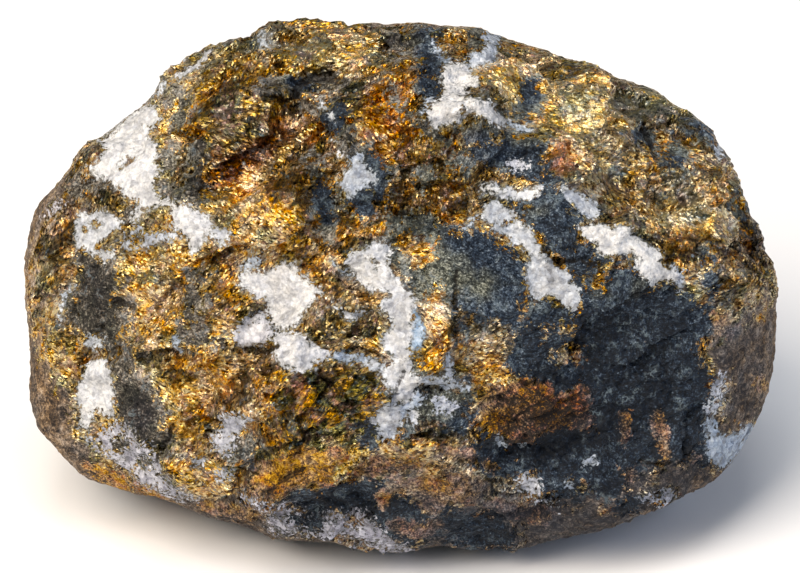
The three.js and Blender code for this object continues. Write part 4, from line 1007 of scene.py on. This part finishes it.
# %% [markdown]
# Quartz stands proud of the rest by its rise, swells, has knobs of broken crystals and follows the facets a
# little. The rock keeps half of the facets and adds crumbs, the rind has only crumbs, rubbed low, and the
# ochre plates keep most of the ledges. A noise has most of its values near its middle, so its swings are
# counted four times to reach the size asked for.

# %% Shape nodes: height of each mineral, added up
waves = {}
for name, scale, detail in (("swell", 0.45, 2.0), ("grain", 1.3, 3.0)):
    wave = add_node(broken, "ShaderNodeTexNoise", {"Vector": in_mm, "Scale": scale, "Detail": detail})
    waves[name] = add_node(broken, "ShaderNodeMath", {0: wave, 1: 0.5}, operation="SUBTRACT")
for name, of in (("Quartz swell (mm)", "swell"), ("Rock grain (mm)", "grain"), ("Rind grain (mm)", "grain")):
    waves[name] = add_node(broken, "ShaderNodeMath", {0: waves[of], 1: given[name]}, operation="MULTIPLY")
density = add_node(broken, "ShaderNodeMath", {0: 1.0, 1: given["Quartz grain (mm)"]}, operation="DIVIDE")
knob = add_node(broken, "ShaderNodeTexVoronoi", {"Vector": in_mm, "Scale": density}, output="Distance")
SWING = 4.0
HEIGHTS = {  # mm: what it starts from, then each part and how much of it counts
    "brass": (facet_height,),
    "quartz": (given["Quartz rise (mm)"], (waves["Quartz swell (mm)"], SWING), (facet_height, 0.3),
               (knob, -0.35)),
    "dark_rock": (0.0, (facet_height, 0.5), (waves["Rock grain (mm)"], SWING)),
    "rind": (0.0, (waves["Rind grain (mm)"], SWING)),
    "ochre": (0.0, (waves["Rind grain (mm)"], SWING), (facet_height, 0.85)),
}
height = add_node(broken, "ShaderNodeMath", {0: laid["crack"], 1: -1.0}, operation="MULTIPLY")
for name, (rise, *rest) in HEIGHTS.items():
    for part, counts in rest:
        rise = add_node(broken, "ShaderNodeMath", {0: part, 1: counts, 2: rise}, operation="MULTIPLY_ADD")
    height = add_node(broken, "ShaderNodeMath", {0: share[name], 1: rise, 2: height},
                      operation="MULTIPLY_ADD")
print("shape nodes so far:", len(broken.nodes))

# %% [markdown]
# Along the rim the height is less, because the rim is worn. Coarse crumbs nibble at the whole skin, and the
# trim is taken off the rim. The flat that the lump rests on stays flat: the height fades out just above it,
# and no point sinks below the ground.

# %% Shape nodes: move the points, keep the base
DEEPEST_PIT, HIGHEST_FACET = -1.0, 0.7  # mm
RIM_RUB = 0.8  # the share of the height that is gone at the rim
FADE_LOW, FADE_HIGH = 0.05, 1.2  # mm over the ground
ground = add_node(broken, "ShaderNodeSeparateXYZ", {0: in_mm}, output="Z")
fade = add_node(broken, "ShaderNodeMapRange", {"Value": ground, "From Min": FADE_LOW, "From Max": FADE_HIGH},
                interpolation_type="SMOOTHSTEP")
worn = add_node(broken, "ShaderNodeMath", {0: laid["worn"], 1: -RIM_RUB, 2: 1.0}, operation="MULTIPLY_ADD")
height = add_node(broken, "ShaderNodeClamp", {"Value": height, "Min": DEEPEST_PIT, "Max": HIGHEST_FACET})
height = add_node(broken, "ShaderNodeMath", {0: height, 1: worn}, operation="MULTIPLY")
height = add_node(broken, "ShaderNodeMath", {0: waves["grain"], 1: given["Nibble (mm)"], 2: height},
                  operation="MULTIPLY_ADD")
height = add_node(broken, "ShaderNodeMath", {0: height, 1: laid["trim"]}, operation="SUBTRACT")
for factor in (fade, MM):
    height = add_node(broken, "ShaderNodeMath", {0: height, 1: factor}, operation="MULTIPLY")
out = add_node(broken, "GeometryNodeInputNormal")
step = add_node(broken, "ShaderNodeVectorMath", {0: out, "Scale": height}, operation="SCALE")
low = add_node(broken, "ShaderNodeVectorMath", {0: place, 1: (-1.0, -1.0, 0.0)},
               operation="MAXIMUM")  # no lower than the ground, and anywhere within a metre of it
geometry = given["Geometry"]
for kind, settings in (("SetPosition", {"Offset": step}), ("SetPosition", {"Position": low}),
                       ("RealizeInstances", {}), ("SetMaterial", {"Material": given["Finish"]})):
    geometry = add_node(broken, "GeometryNode" + kind, {"Geometry": geometry, **settings})
add_node(broken, "NodeGroupOutput", {"Geometry": geometry})
print("shape nodes:", len(broken.nodes))

# %% [markdown]
# ## The ore's finish
# One material carries all the minerals, because they are grown together and the border between two of them
# runs through the middle of a grain. It reads positions in millimetres, so every pattern below has a real
# size. The brass is a true metal: its colour lives in its reflections, which is why each facet needs a tilt
# of its own.

# %% Finish: positions and fields
finish = bpy.data.materials.new("broken_chalcopyrite_in_vein_quartz")
finish.use_nodes = True
mix = finish.node_tree
mix.nodes.clear()
place = add_node(mix, "ShaderNodeTexCoord", output="Object")
in_mm = add_node(mix, "ShaderNodeVectorMath", {0: place, "Scale": 1 / MM}, operation="SCALE")
BEND = 0.1  # mm from side to side, so that the facets' edges aren't quite straight
bend = add_node(mix, "ShaderNodeTexNoise", {"Vector": in_mm, "Scale": 2.2, "Detail": 3.0}, output="Color")
bend = add_node(mix, "ShaderNodeVectorMath", {0: bend, 1: (0.5, 0.5, 0.5)}, operation="SUBTRACT")
bent = add_node(mix, "ShaderNodeVectorMath", {0: bend, 1: (BEND,) * 3, 2: in_mm}, operation="MULTIPLY_ADD")
laid = {name: add_node(mix, "ShaderNodeAttribute", attribute_name=name, output="Fac")
        for name in skin_fields if name not in ("worn", "crack", "trim")}
print("fields in the finish:", sorted(laid))

# %% [markdown]
# ### Facets in the finish
# The bold and broad facets are the cells that the shape has, so their tilts sharpen what the mesh rounds
# off. On each bold facet the brass splits into flakes that run one way, a third of a millimetre across and
# more than twice as long, and each flake shows glints of less than half that size. Real ones are finer
# still, but wouldn't show. The half-millimetre grains are for the borders.

# %% Finish: facets
FLAKE, GLINT, GRAIN = 0.34, 0.146, 0.5  # mm
FLAKE_SQUEEZE = (0.42, 1.0, 0.7)
FLAKE_TURN = 1.2  # radians to each side of the grain
patterns = {"facets": squeezed(mix, bent, *FACET_SQUEEZE), "grains": bent}
chance, hue, tilts = {}, {}, {}
for name, pattern, size in (
        ("bold", "facets", BOLD_FACET), ("broad", "facets", BROAD_FACET), ("grain", "grains", GRAIN),
        ("flake", "flakes", FLAKE), ("glint", "flakes", GLINT)):
    if pattern not in patterns:  # the flakes of each bold facet are turned by a chance of its own
        turn = add_node(mix, "ShaderNodeMath", {0: chance["bold"], 1: 2 * FLAKE_TURN, 2: -FLAKE_TURN},
                        operation="MULTIPLY_ADD")
        spun = add_node(mix, "ShaderNodeVectorRotate", {"Vector": in_mm, "Axis": tuple(FACE_OUT),
                        "Angle": turn}, rotation_type="AXIS_ANGLE")
        patterns[pattern] = squeezed(mix, spun, *FLAKE_SQUEEZE)
    cell = add_node(mix, "ShaderNodeTexVoronoi", {"Vector": patterns[pattern],
                    "Scale": 1 / size}, output="Color")
    tilts[name] = add_node(mix, "ShaderNodeVectorMath", {0: cell, 1: (0.5, 0.5, 0.5)}, operation="SUBTRACT")
    parts = add_node(mix, "ShaderNodeSeparateColor", {0: cell}).node.outputs
    chance[name], hue[name] = parts["Green"], parts["Blue"]
print("flakes run along the grain, give or take", round(math.degrees(FLAKE_TURN)), "degrees")

# %% [markdown]
# ### Noises
# Five sizes of noise, from swells of several millimetres to grit of a fifth of one, each from -0.5 to 0.5.

# %% Finish: noises
noises = {}
for name, per_mm, detail, rough in (
        ("patchy", 0.22, 3.0, 0.5), ("cloud", 0.55, 4.0, 0.6), ("wander", 1.0, 4.0, 0.6),
        ("tear", 2.6, 4.0, 0.65), ("grit", 5.5, 3.0, 0.7)):
    wave = add_node(mix, "ShaderNodeTexNoise", {"Vector": in_mm, "Scale": per_mm, "Detail": detail,
                    "Roughness": rough})
    noises[name] = add_node(mix, "ShaderNodeMath", {0: wave, 1: 0.5}, operation="SUBTRACT")
print("noises:", sorted(noises))

# %% [markdown]
# ### Borders
# Each mineral's depth is pushed in and out by noise, and by a chance for each half-millimetre grain, before
# it is cut. So borders fray: a little for quartz, a lot for the dark rock, whose grains scatter into the
# brass. A film of dark rock runs along the quartz (a selvage), as it does where a vein has opened.

# %% Finish: borders
# mm by which the cloud, wander, tear and grit noises and the grains move the border, and its half width
BORDERS = {"quartz": (0.0, 1.6, 1.8, 0.5, 0.1, 0.08), "dark_rock": (4.5, 3.0, 3.2, 1.5, 1.0, 0.2),
           "rind": (5.0, 3.4, 3.6, 1.0, 0.6, 0.3), "ochre": (1.0, 1.3, 1.5, 0.5, 0.3, 0.14)}
BRASS_IN_ROCK = 1.5  # mm by which a light part of the rock gives way to scattered brass
breaks = add_node(mix, "ShaderNodeMath", {0: noises["tear"], 1: 4.0, 2: -0.1},
                  operation="MULTIPLY_ADD")  # lilac veins are thin and broken up
more = {"quartz": (breaks, laid["lilac"]), "dark_rock": (laid["light"], -BRASS_IN_ROCK)}
cover, inner = {}, {}
for name, (by_cloud, by_wander, by_tear, by_grit, by_grain, softness) in BORDERS.items():
    steps = [(noises["cloud"], by_cloud), (noises["wander"], by_wander), (noises["tear"], by_tear),
             (noises["grit"], by_grit), (chance["grain"], by_grain), (-0.5, by_grain)]
    if name in more:
        steps.append(more[name])
    inner[name] = laid[name]
    for driver, reach in steps:
        inner[name] = add_node(mix, "ShaderNodeMath", {0: driver, 1: reach, 2: inner[name]},
                               operation="MULTIPLY_ADD")
    cover[name] = add_node(mix, "ShaderNodeMapRange", {"Value": inner[name], "From Min": -softness,
                           "From Max": softness}, interpolation_type="SMOOTHSTEP")
selvage = add_node(mix, "ShaderNodeMapRange", {"Value": inner["quartz"], "From Min": -0.5, "From Max": -0.05,
                   "To Max": 0.8})
cover["dark_rock"] = add_node(mix, "ShaderNodeMath", {0: cover["dark_rock"], 1: selvage}, operation="MAXIMUM")
print("borders of:", sorted(cover))

# %% [markdown]
# ### Sums
# Everything below is decided by a few sums of the same parts: where a mineral stands between its shadow and
# its highlight, how far the brass leans to amber or olive, how much dust or rust has set in. So the sums
# are a table, and one loop turns each row into nodes. The noises lie round zero, and the chances run from 0
# to 1.

# %% Finish: sums
patchy, cloud, wander, tear, grit = (noises[name] for name in ("patchy", "cloud", "wander", "tear", "grit"))
bold, broad, flake, glint, grain = (chance[name] for name in ("bold", "broad", "flake", "glint", "grain"))
painted_light_and_tone, heat, shade_and_dust, even = (laid[name] for name in ("light", "warmth", "shade_and_dust", "even"))
CRYSTAL, CRYSTAL_GROUP = 0.62, 0.95  # mm, the knobs of the quartz and the pieces between its joints
joint = add_node(mix, "ShaderNodeTexVoronoi", {"Vector": bent, "Scale": 1 / CRYSTAL_GROUP},
                 feature="DISTANCE_TO_EDGE", output="Distance")
stray = {name: add_node(mix, "ShaderNodeMath", {0: way, 1: grain}, operation="MULTIPLY")
         for name, way in (("red", cloud), ("blue", wander))}
SUMS = {  # what each starts from, then each part and how much of it counts
    "brass": (-0.34, (bold, 0.24), (broad, 0.2), (flake, 0.32), (glint, 1.1), (grain, 0.1), (tear, 0.85),
              (cloud, 0.34), (painted_light_and_tone, 0.5)),
    "even": (0.44, (painted_light_and_tone, 0.5)),
    "rock": (0.25, (tear, 1.2), (grit, 1.7), (cloud, 0.8), (broad, 0.15), (glint, 0.35), (painted_light_and_tone, 0.6)),
    "powder": (0.2, (tear, 2.0), (grit, 2.4), (wander, 1.0), (broad, 0.25), (glint, 0.35), (painted_light_and_tone, 0.7)),
    "rind": (0.275, (tear, 1.7), (grit, 1.5), (wander, 1.3), (broad, 0.25), (glint, 0.2), (painted_light_and_tone, 0.7)),
    "quartz": (0.275, (tear, 0.7), (grit, 0.5), (cloud, 0.9), (broad, 0.25), (grain, 0.4), (painted_light_and_tone, 0.6)),
    "lean": (heat, (patchy, 1.6), (cloud, -0.9), (broad, 1.1), (hue["flake"], 0.3), (1.0, -0.85)),
    "dull": (patchy, (hue["glint"], 0.5), (cloud, 2.5)),
    "red": (laid["red_tarnish"], (stray["red"], 3.0)),
    "blue": (laid["blue_tarnish"], (stray["blue"], 3.0)),
    # where the painted lightness is low, the rock stays blue-black
    "green": (patchy, (painted_light_and_tone, 0.8), (laid["brown"], 0.45)),
    "brown": (laid["brown"], (cloud, 2.0)),
    "rust": (cloud, (wander, 1.5), (heat, 0.5)),
    "cool": (laid["cool"], (wander, 1.2)),
    "lilac": (laid["lilac"], (wander, 1.2)),
    "joint": (joint, (tear, 0.35)),
    # painted shade greys the brass, the rind and the ochre (vivid), and darkens them (bright)
    "vivid": (0.86, (shade_and_dust, -0.75), (hue["flake"], 0.2), (cloud, -1.5), (patchy, 1.2), (tear, 0.5),
              (even, 0.22)),
    "bright": (1.0, (shade_and_dust, -0.6)),
    "shade_and_dust_film": (0.35, (cloud, 1.5)),
    "facing": (1.0, (even, -0.35)),
    "crack": (laid["crack_gap"], (tear, 0.6)),
}
sums = {}
for name, (total, *steps) in SUMS.items():
    for part, counts in steps:
        total = add_node(mix, "ShaderNodeMath", {0: part, 1: counts, 2: total}, operation="MULTIPLY_ADD")
    sums[name] = total
EVENNESS = 0.4  # how far fine-grained brass is drawn to its middle tone
level = add_node(mix, "ShaderNodeMath", {0: even, 1: EVENNESS}, operation="MULTIPLY")
sums["brass"] = add_node(mix, "ShaderNodeMix", {"Factor": level, 2: sums["brass"], 3: sums["even"]})
print("sums:", ", ".join(sums))

# %% [markdown]
# ### From shadow to highlight
# Chalcopyrite is a brassy metal. Three ramps run from the shadowed bronze between grains to the cream of a
# flake that faces the light: one for plain brass, one for olive parts, one for amber parts. The dark rock
# is fine-grained, blue-black, green-black or brown, with paler grains. The rind is iron-stained and dead
# matt. Ochre is limonite, a powdery yellow-brown, and rust a redder one. Vein quartz is milky, because it
# is full of tiny bubbles, with greyer, bluer and lilac parts, partly where it is clear enough to show the
# dark behind it and partly painted shade on the sides of veins turned from the lamps.

# %% Finish: colour ramps
RAMPS = {  # the sum that each follows, and its colours
    "brass": ("brass", {0.0: "#1a120a", 0.2: "#433420", 0.4: "#6e5731", 0.58: "#9f7b3a", 0.75: "#c8a158",
                        0.9: "#e2c27d", 1.0: "#f4dfa3"}),
    "olive": ("brass", {0.0: "#11110b", 0.25: "#35331f", 0.5: "#666036", 0.75: "#9f9558", 1.0: "#ddd5a4"}),
    "amber": ("brass", {0.0: "#1e1007", 0.25: "#5a3613", 0.5: "#a46b24", 0.75: "#d69b49", 1.0: "#f4d38c"}),
    "rock": ("rock", {0.0: "#04080f", 0.3: "#0d151f", 0.5: "#1a2430", 0.75: "#404d5a", 1.0: "#828d96"}),
    "green": ("rock", {0.0: "#0c0d0a", 0.3: "#20221d", 0.5: "#3b3d34", 0.75: "#6f7163", 1.0: "#aaaa9a"}),
    "brown": ("rock", {0.0: "#0e0b09", 0.3: "#27211c", 0.5: "#463d35", 0.75: "#7c7165", 1.0: "#b4a99b"}),
    "rust": ("powder", {0.0: "#1a0d07", 0.25: "#47220d", 0.5: "#7c4016", 0.75: "#a9652a", 1.0: "#cf9a5d"}),
    "ochre": ("powder", {0.0: "#21150b", 0.25: "#4f371a", 0.5: "#805c2c", 0.75: "#b0843a", 1.0: "#d8b364"}),
    "rind": ("rind", {0.0: "#1d1713", 0.25: "#382d24", 0.5: "#5f4e3d", 0.75: "#89735b", 1.0: "#b09c84"}),
    "quartz": ("quartz", {0.0: "#8f8e8d", 0.25: "#b1b0ae", 0.5: "#c9c7c4", 0.75: "#dbd9d5", 1.0: "#eae8e3"}),
    "cool": ("quartz", {0.1: "#2b3c50", 0.35: "#4a627c", 0.5: "#64809c", 0.68: "#88a1ba", 0.95: "#bccbda"}),
    "lilac": ("quartz", {0.1: "#39353c", 0.33: "#655f6a", 0.48: "#86808b", 0.66: "#a9a3ae", 0.95: "#d0ccd5"}),
}
colour = {}
for name, (followed, steps) in RAMPS.items():
    colour[name] = add_node(mix, "ShaderNodeValToRGB", {0: sums[followed]})
    fill_ramp(colour[name].node.color_ramp, steps)
print("ramps:", ", ".join(RAMPS))

# %% [markdown]
# ### Washes
# One colour is washed over another by an amount from 0 to 1: amber, olive, dull grey and tarnish over the
# brass, green, brown and pale wisps over the blue-black rock, cool and lilac tones and grey joints over the
# quartz, which is also thin and dark at its very edge, and rust over the ochre.

# %% Finish: amounts
AMOUNTS = {  # the sum each follows, where it sets in, where it is full, and how much that is
    "amber": (sums["lean"], -0.05, 0.7, 1.0), "olive": (sums["lean"], -0.2, -0.8, 1.0),
    "dull": (sums["dull"], 0.5, 0.78, 0.55), "red": (sums["red"], 0.0, 1 / 0.75, 1.0),
    "blue": (sums["blue"], 0.0, 1 / 0.75, 1.0), "green": (sums["green"], -0.12, 0.08, 1.0),
    "brown": (sums["brown"], 0.0, 1.0, 1.0), "rust": (sums["rust"], -0.05, 0.25, 1.0),
    "cool": (sums["cool"], 0.0, 1 / 0.85, 1.0), "lilac": (sums["lilac"], 0.0, 1 / 0.75, 1.0),
    "joint": (sums["joint"], 0.12, -0.02, 0.35), "thin": (inner["quartz"], 0.3, -0.05, 0.7),
    "wisp": (add_node(mix, "ShaderNodeMath", {0: wander}, operation="ABSOLUTE"), 0.05, 0.0, 0.7),
    "wisps here": (cloud, 0.02, 0.14, 1.0),
}
amount = {}
for name, (value, sets_in, full, most) in AMOUNTS.items():
    amount[name] = add_node(mix, "ShaderNodeMapRange", {"Value": value, "From Min": sets_in, "From Max": full,
                            "To Max": most})
amount["wisp"] = add_node(mix, "ShaderNodeMath", {0: amount["wisp"], 1: amount["wisps here"]},
                          operation="MULTIPLY")
print("amounts:", len(amount))

# %% [markdown]
# Each wash goes over what the ones before it left, so their order is that in which they came about: first
# what the mineral is, then what has grown or settled on it.

# %% Finish: washes
WASHES = {
    "brass": (("amber", colour["amber"]), ("olive", colour["olive"]), ("dull", linear("#5b564e")),
              ("red", linear("#c98068")), ("blue", linear("#9db4ba"))),
    "rock": (("green", colour["green"]), ("brown", colour["brown"]), ("wisp", linear("#6e7b80"))),
    "quartz": (("cool", colour["cool"]), ("lilac", colour["lilac"]), ("joint", linear("#85878a")),
               ("thin", linear("#5f6662"))),
    "ochre": (("rust", colour["rust"]),),
}
for name, washes in WASHES.items():
    for wash, tint in washes:
        colour[name] = add_node(mix, "ShaderNodeMix", {"Factor": amount[wash], 6: colour[name], 7: tint},
                                data_type="RGBA", output=2)
print("washes over:", ", ".join(WASHES))

# %% [markdown]
# ### Painted shade and dust
# On the face this is painted shade: it takes colour and light from the brass, the rind and the ochre of the
# lower and right parts, and lays a blue-grey film of shade on them. On the back it is an even film of dust.

# %% Finish: painted shade and dust
MOST_VIVID = 1.16
vivid = add_node(mix, "ShaderNodeClamp", {"Value": sums["vivid"], "Min": 0.0, "Max": MOST_VIVID})
# painted shade: the blue-grey film below, in cloudy patches
shade_and_dust_film = add_node(mix, "ShaderNodeMath", {0: sums["shade_and_dust_film"], 1: shade_and_dust}, operation="MULTIPLY", use_clamp=True)
for name in ("brass", "rind", "ochre"):
    faded = add_node(mix, "ShaderNodeHueSaturation", {"Color": colour[name], "Saturation": vivid,
                     "Value": sums["bright"]})
    colour[name] = add_node(mix, "ShaderNodeMix", {"Factor": shade_and_dust_film, 6: faded, 7: linear("#3b3e49")},
                            data_type="RGBA", output=2)
print("brass is at most", MOST_VIVID, "times as vivid as its ramps")

# %% [markdown]
# ### One over another
# The minerals are laid over the brass in the order in which they cover it. Each brings its colour, whether
# it is a metal, its roughness and how strongly its facets tilt. Brass is the smoothest, because its flakes
# are bright faces, and the weathered minerals are dead matt. Last, the cracks get near-black painted shade.

# %% Finish: lay the minerals over one another
LAYERS = (  # mineral, colour, metal, roughness, strength of its facets
    ("dark_rock", "rock", 0.0, 0.7, 0.7), ("rind", "rind", 0.0, 0.8, 0.5), ("ochre", "ochre", 0.0, 0.8, 0.55),
    ("quartz", "quartz", 0.0, 0.5, 0.45))
BRASS_ROUGHNESS = 0.28
body_colour, is_metal, roughness, facing = colour["brass"], 1.0, BRASS_ROUGHNESS, sums["facing"]
for name, tint, layer_metal, layer_rough, layer_facing in LAYERS:
    body_colour = add_node(mix, "ShaderNodeMix", {"Factor": cover[name], 6: body_colour, 7: colour[tint]},
                           data_type="RGBA", output=2)
    is_metal, roughness, facing = (
        add_node(mix, "ShaderNodeMix", {"Factor": cover[name], 2: under, 3: over})
        for under, over in ((is_metal, layer_metal), (roughness, layer_rough), (facing, layer_facing)))
roughness = add_node(mix, "ShaderNodeMath", {0: tear, 1: 0.25, 2: roughness}, operation="MULTIPLY_ADD")
# painted shade: near-black inside each crack, fading out past its half width
gap = add_node(mix, "ShaderNodeMapRange", {"Value": sums["crack"], "From Min": 0.1, "From Max": -0.05,
               "To Max": 0.8}, interpolation_type="SMOOTHSTEP")
body_colour = add_node(mix, "ShaderNodeMix", {"Factor": gap, 6: body_colour, 7: linear("#140f0a")},
                       data_type="RGBA", output=2)
print("layers, lowest first: brass,", ", ".join(layer[0] for layer in LAYERS))

# %% [markdown]
# ### Which way each facet faces
# The tilts of the facets and flakes are added to the surface normal, strongly on brass and weakly
# elsewhere. The two that the shape also has are taken off, because a face that rises along its tilt leans
# back from it. A bump finer than the flakes then breaks up what is left flat, and rounds the crystals of
# the quartz.

# %% Finish: normals
TILTS = {"bold": -0.62, "broad": -0.45, "grain": 0.15, "flake": 0.5, "glint": 1.3}
lean = (0.0, 0.0, 0.0)
for name, strength in TILTS.items():
    lean = add_node(mix, "ShaderNodeVectorMath", {0: tilts[name], 1: (strength,) * 3, 2: lean},
                    operation="MULTIPLY_ADD")
lean = add_node(mix, "ShaderNodeVectorMath", {0: lean, "Scale": facing}, operation="SCALE")
out = add_node(mix, "ShaderNodeNewGeometry", output="Normal")
out = add_node(mix, "ShaderNodeVectorMath", {0: out, 1: lean}, operation="ADD")
out = add_node(mix, "ShaderNodeVectorMath", {0: out}, operation="NORMALIZE")
in_quartz = add_node(mix, "ShaderNodeMapRange", {"Value": laid["quartz"], "From Min": -0.1, "From Max": 0.1})
crystal = add_node(mix, "ShaderNodeTexVoronoi", {"Vector": bent, "Scale": 1 / CRYSTAL}, output="Distance")
crystal = add_node(mix, "ShaderNodeMath", {0: crystal, 1: in_quartz}, operation="MULTIPLY")
bumps = add_node(mix, "ShaderNodeMath", {0: crystal, 1: -1.3, 2: grit}, operation="MULTIPLY_ADD")
BUMP_STRENGTH, BUMP_HEIGHT = 0.7, 0.12  # the height in mm
out = add_node(mix, "ShaderNodeBump", {"Strength": BUMP_STRENGTH, "Distance": BUMP_HEIGHT * MM,
               "Height": bumps, "Normal": out})
STONE_GLOSS = 0.25  # half the usual, because the stony parts are rough and dusty
shader = add_node(mix, "ShaderNodeBsdfPrincipled", {"Base Color": body_colour, "Metallic": is_metal,
                  "Roughness": roughness, "Specular IOR Level": STONE_GLOSS, "Normal": out})
add_node(mix, "ShaderNodeOutputMaterial", {"Surface": shader})
print("finish nodes:", len(mix.nodes))

# %% [markdown]
# ## Break the surface
# The modifier's inputs are set by their identifiers before it is first evaluated. The result becomes a
# plain mesh and the modifier goes, so that what is left is one closed skin with its finish. Quartz and rind
# are shaded smooth, and the facets of the brass, the rock and the ochre stay flat.

# %% Apply the shape nodes
shaper = ore.modifiers.new("broken_surface", "NODES")
shaper.node_group = broken
sockets = {s.name: s.identifier for s in broken.interface.items_tree if s.in_out == "INPUT"}
for name, value in SURFACE_SIZES.items():
    shaper[sockets[name]] = value
shaper[sockets["Finish"]] = finish
bpy.context.view_layer.update()
ready = ore.evaluated_get(bpy.context.evaluated_depsgraph_get())
broken_mesh = bpy.data.meshes.new_from_object(ready, preserve_all_data_layers=True,
                                              depsgraph=bpy.context.evaluated_depsgraph_get())
ore.modifiers.clear()
ore.data = broken_mesh
broken_mesh.name = "ore_lump"
corners = np.empty(3 * len(broken_mesh.polygons), np.int32)
broken_mesh.loops.foreach_get("vertex_index", corners)
rounded = (np.maximum(skin_fields["quartz"], skin_fields["rind"])[corners].reshape(-1, 3) > 0).any(1)
broken_mesh.polygons.foreach_set("use_smooth", rounded)
moved_by = np.empty(len(broken_mesh.vertices) * 3, np.float32)
broken_mesh.vertices.foreach_get("co", moved_by)
moved_by = np.linalg.norm(moved_by.reshape(-1, 3) / MM - skin_points, axis=1)
print("broken surface:", len(broken_mesh.polygons), "triangles, moved by", round(float(moved_by.mean()), 3),
      "mm on average,", round(float(moved_by.max()), 2), "at most; materials:",
      [m.name for m in broken_mesh.materials])

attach(ore, "root")
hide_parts("copper_ore")

# %% [markdown]
# ## Studio
# A plain pale table and soft lamps: a large warm-white one above on the left, where the highlights on the
# face come from, a weak cool one on the right, a white one overhead, and a dim grey room, because brass
# needs something dark to reflect. The table is matt white paper, with no gloss, so that it shows the shadow
# and nothing else.

# %% Floor
HALF_TABLE = 3.0  # m
corners = [(x * HALF_TABLE, y * HALF_TABLE, 0) for x, y in ((-1, -1), (1, -1), (1, 1), (-1, 1))]
floor_mesh = bpy.data.meshes.new("table_top")
floor_mesh.from_pydata(corners, [], [(0, 1, 2, 3)])
floor = bpy.data.objects.new("table_top", floor_mesh)
bpy.context.scene.collection.objects.link(floor)
paper = bpy.data.materials.new("matt_white_paper")
paper.use_nodes = True
paper.node_tree.nodes["Principled BSDF"].inputs["Base Color"].default_value = linear("#f4f3f1")
paper.node_tree.nodes["Principled BSDF"].inputs["Roughness"].default_value = 0.9
floor_mesh.materials.append(paper)
print("floor:", 2 * HALF_TABLE, "m square")

# %% [markdown]
# Each lamp is a square soft box that faces the stone. A broad lamp close by gives the soft highlights of a
# light tent, and the key is strong enough that the brightest flakes are almost white.

# %% Lamps
LAMPS = {  # degrees round to the right, degrees up, metres away, metres across, watts, tint
    "key_softbox": (-46, 50, 0.75, 0.55, 7.7, "#fff3e6"),
    "fill_softbox": (62, 30, 0.9, 0.5, 2.0, "#c4d8ff"),
    "top_softbox": (-10, 80, 0.9, 0.4, 2.5, "#ffffff"),
}
for name, (azimuth, elevation, distance, size, watts, tint) in LAMPS.items():
    a, e = math.radians(azimuth), math.radians(elevation)
    away = Vector((math.sin(a) * math.cos(e), -math.cos(a) * math.cos(e), math.sin(e)))
    data = bpy.data.lights.new(name, "AREA")
    data.size, data.energy, data.color = size, watts, linear(tint)[:3]
    lamp = bpy.data.objects.new(name, data)
    lamp.location = Vector(FACE_MIDDLE) * MM + away * distance
    lamp.rotation_euler = (-away).to_track_quat("-Z", "Y").to_euler()
    bpy.context.scene.collection.objects.link(lamp)
    print(name, [round(v, 2) for v in lamp.location])
ROOM_STRENGTH = 0.3
room = bpy.data.worlds.new("dim_room")
room.use_nodes = True
room.node_tree.nodes["Background"].inputs["Color"].default_value = linear("#e8ecf2")
room.node_tree.nodes["Background"].inputs["Strength"].default_value = ROOM_STRENGTH
bpy.context.scene.world = room
bpy.context.scene.view_settings.view_transform = "Standard"
bpy.context.scene.view_settings.look = "None"

# %% [markdown]
# ## Camera
# A long lens square to the leaning face, the same eye that the face map is drawn for.

# %% Camera
SENSOR = 36.0  # mm
VIEW_WIDTH = 80.0  # mm across the face that fill the picture
IMAGE_MIDDLE_DROP = 0.15  # mm, the picture's middle row lies this far below the map's
camera_data = bpy.data.cameras.new("camera")
camera_data.sensor_width = SENSOR
camera_data.lens = SENSOR * EYE_DISTANCE / VIEW_WIDTH
camera_data.clip_start, camera_data.clip_end = 0.01, 20.0  # m
camera = bpy.data.objects.new("camera", camera_data)
camera.location = Vector(FACE_MIDDLE + FACE_OUT * EYE_DISTANCE - FACE_UP * IMAGE_MIDDLE_DROP) * MM
camera.rotation_mode = "QUATERNION"
camera.rotation_quaternion = Vector(-FACE_OUT).to_track_quat("-Z", "Y")
bpy.context.scene.collection.objects.link(camera)
bpy.context.scene.camera = camera
print("lens:", round(camera_data.lens, 1), "mm at", round(EYE_DISTANCE), "mm")
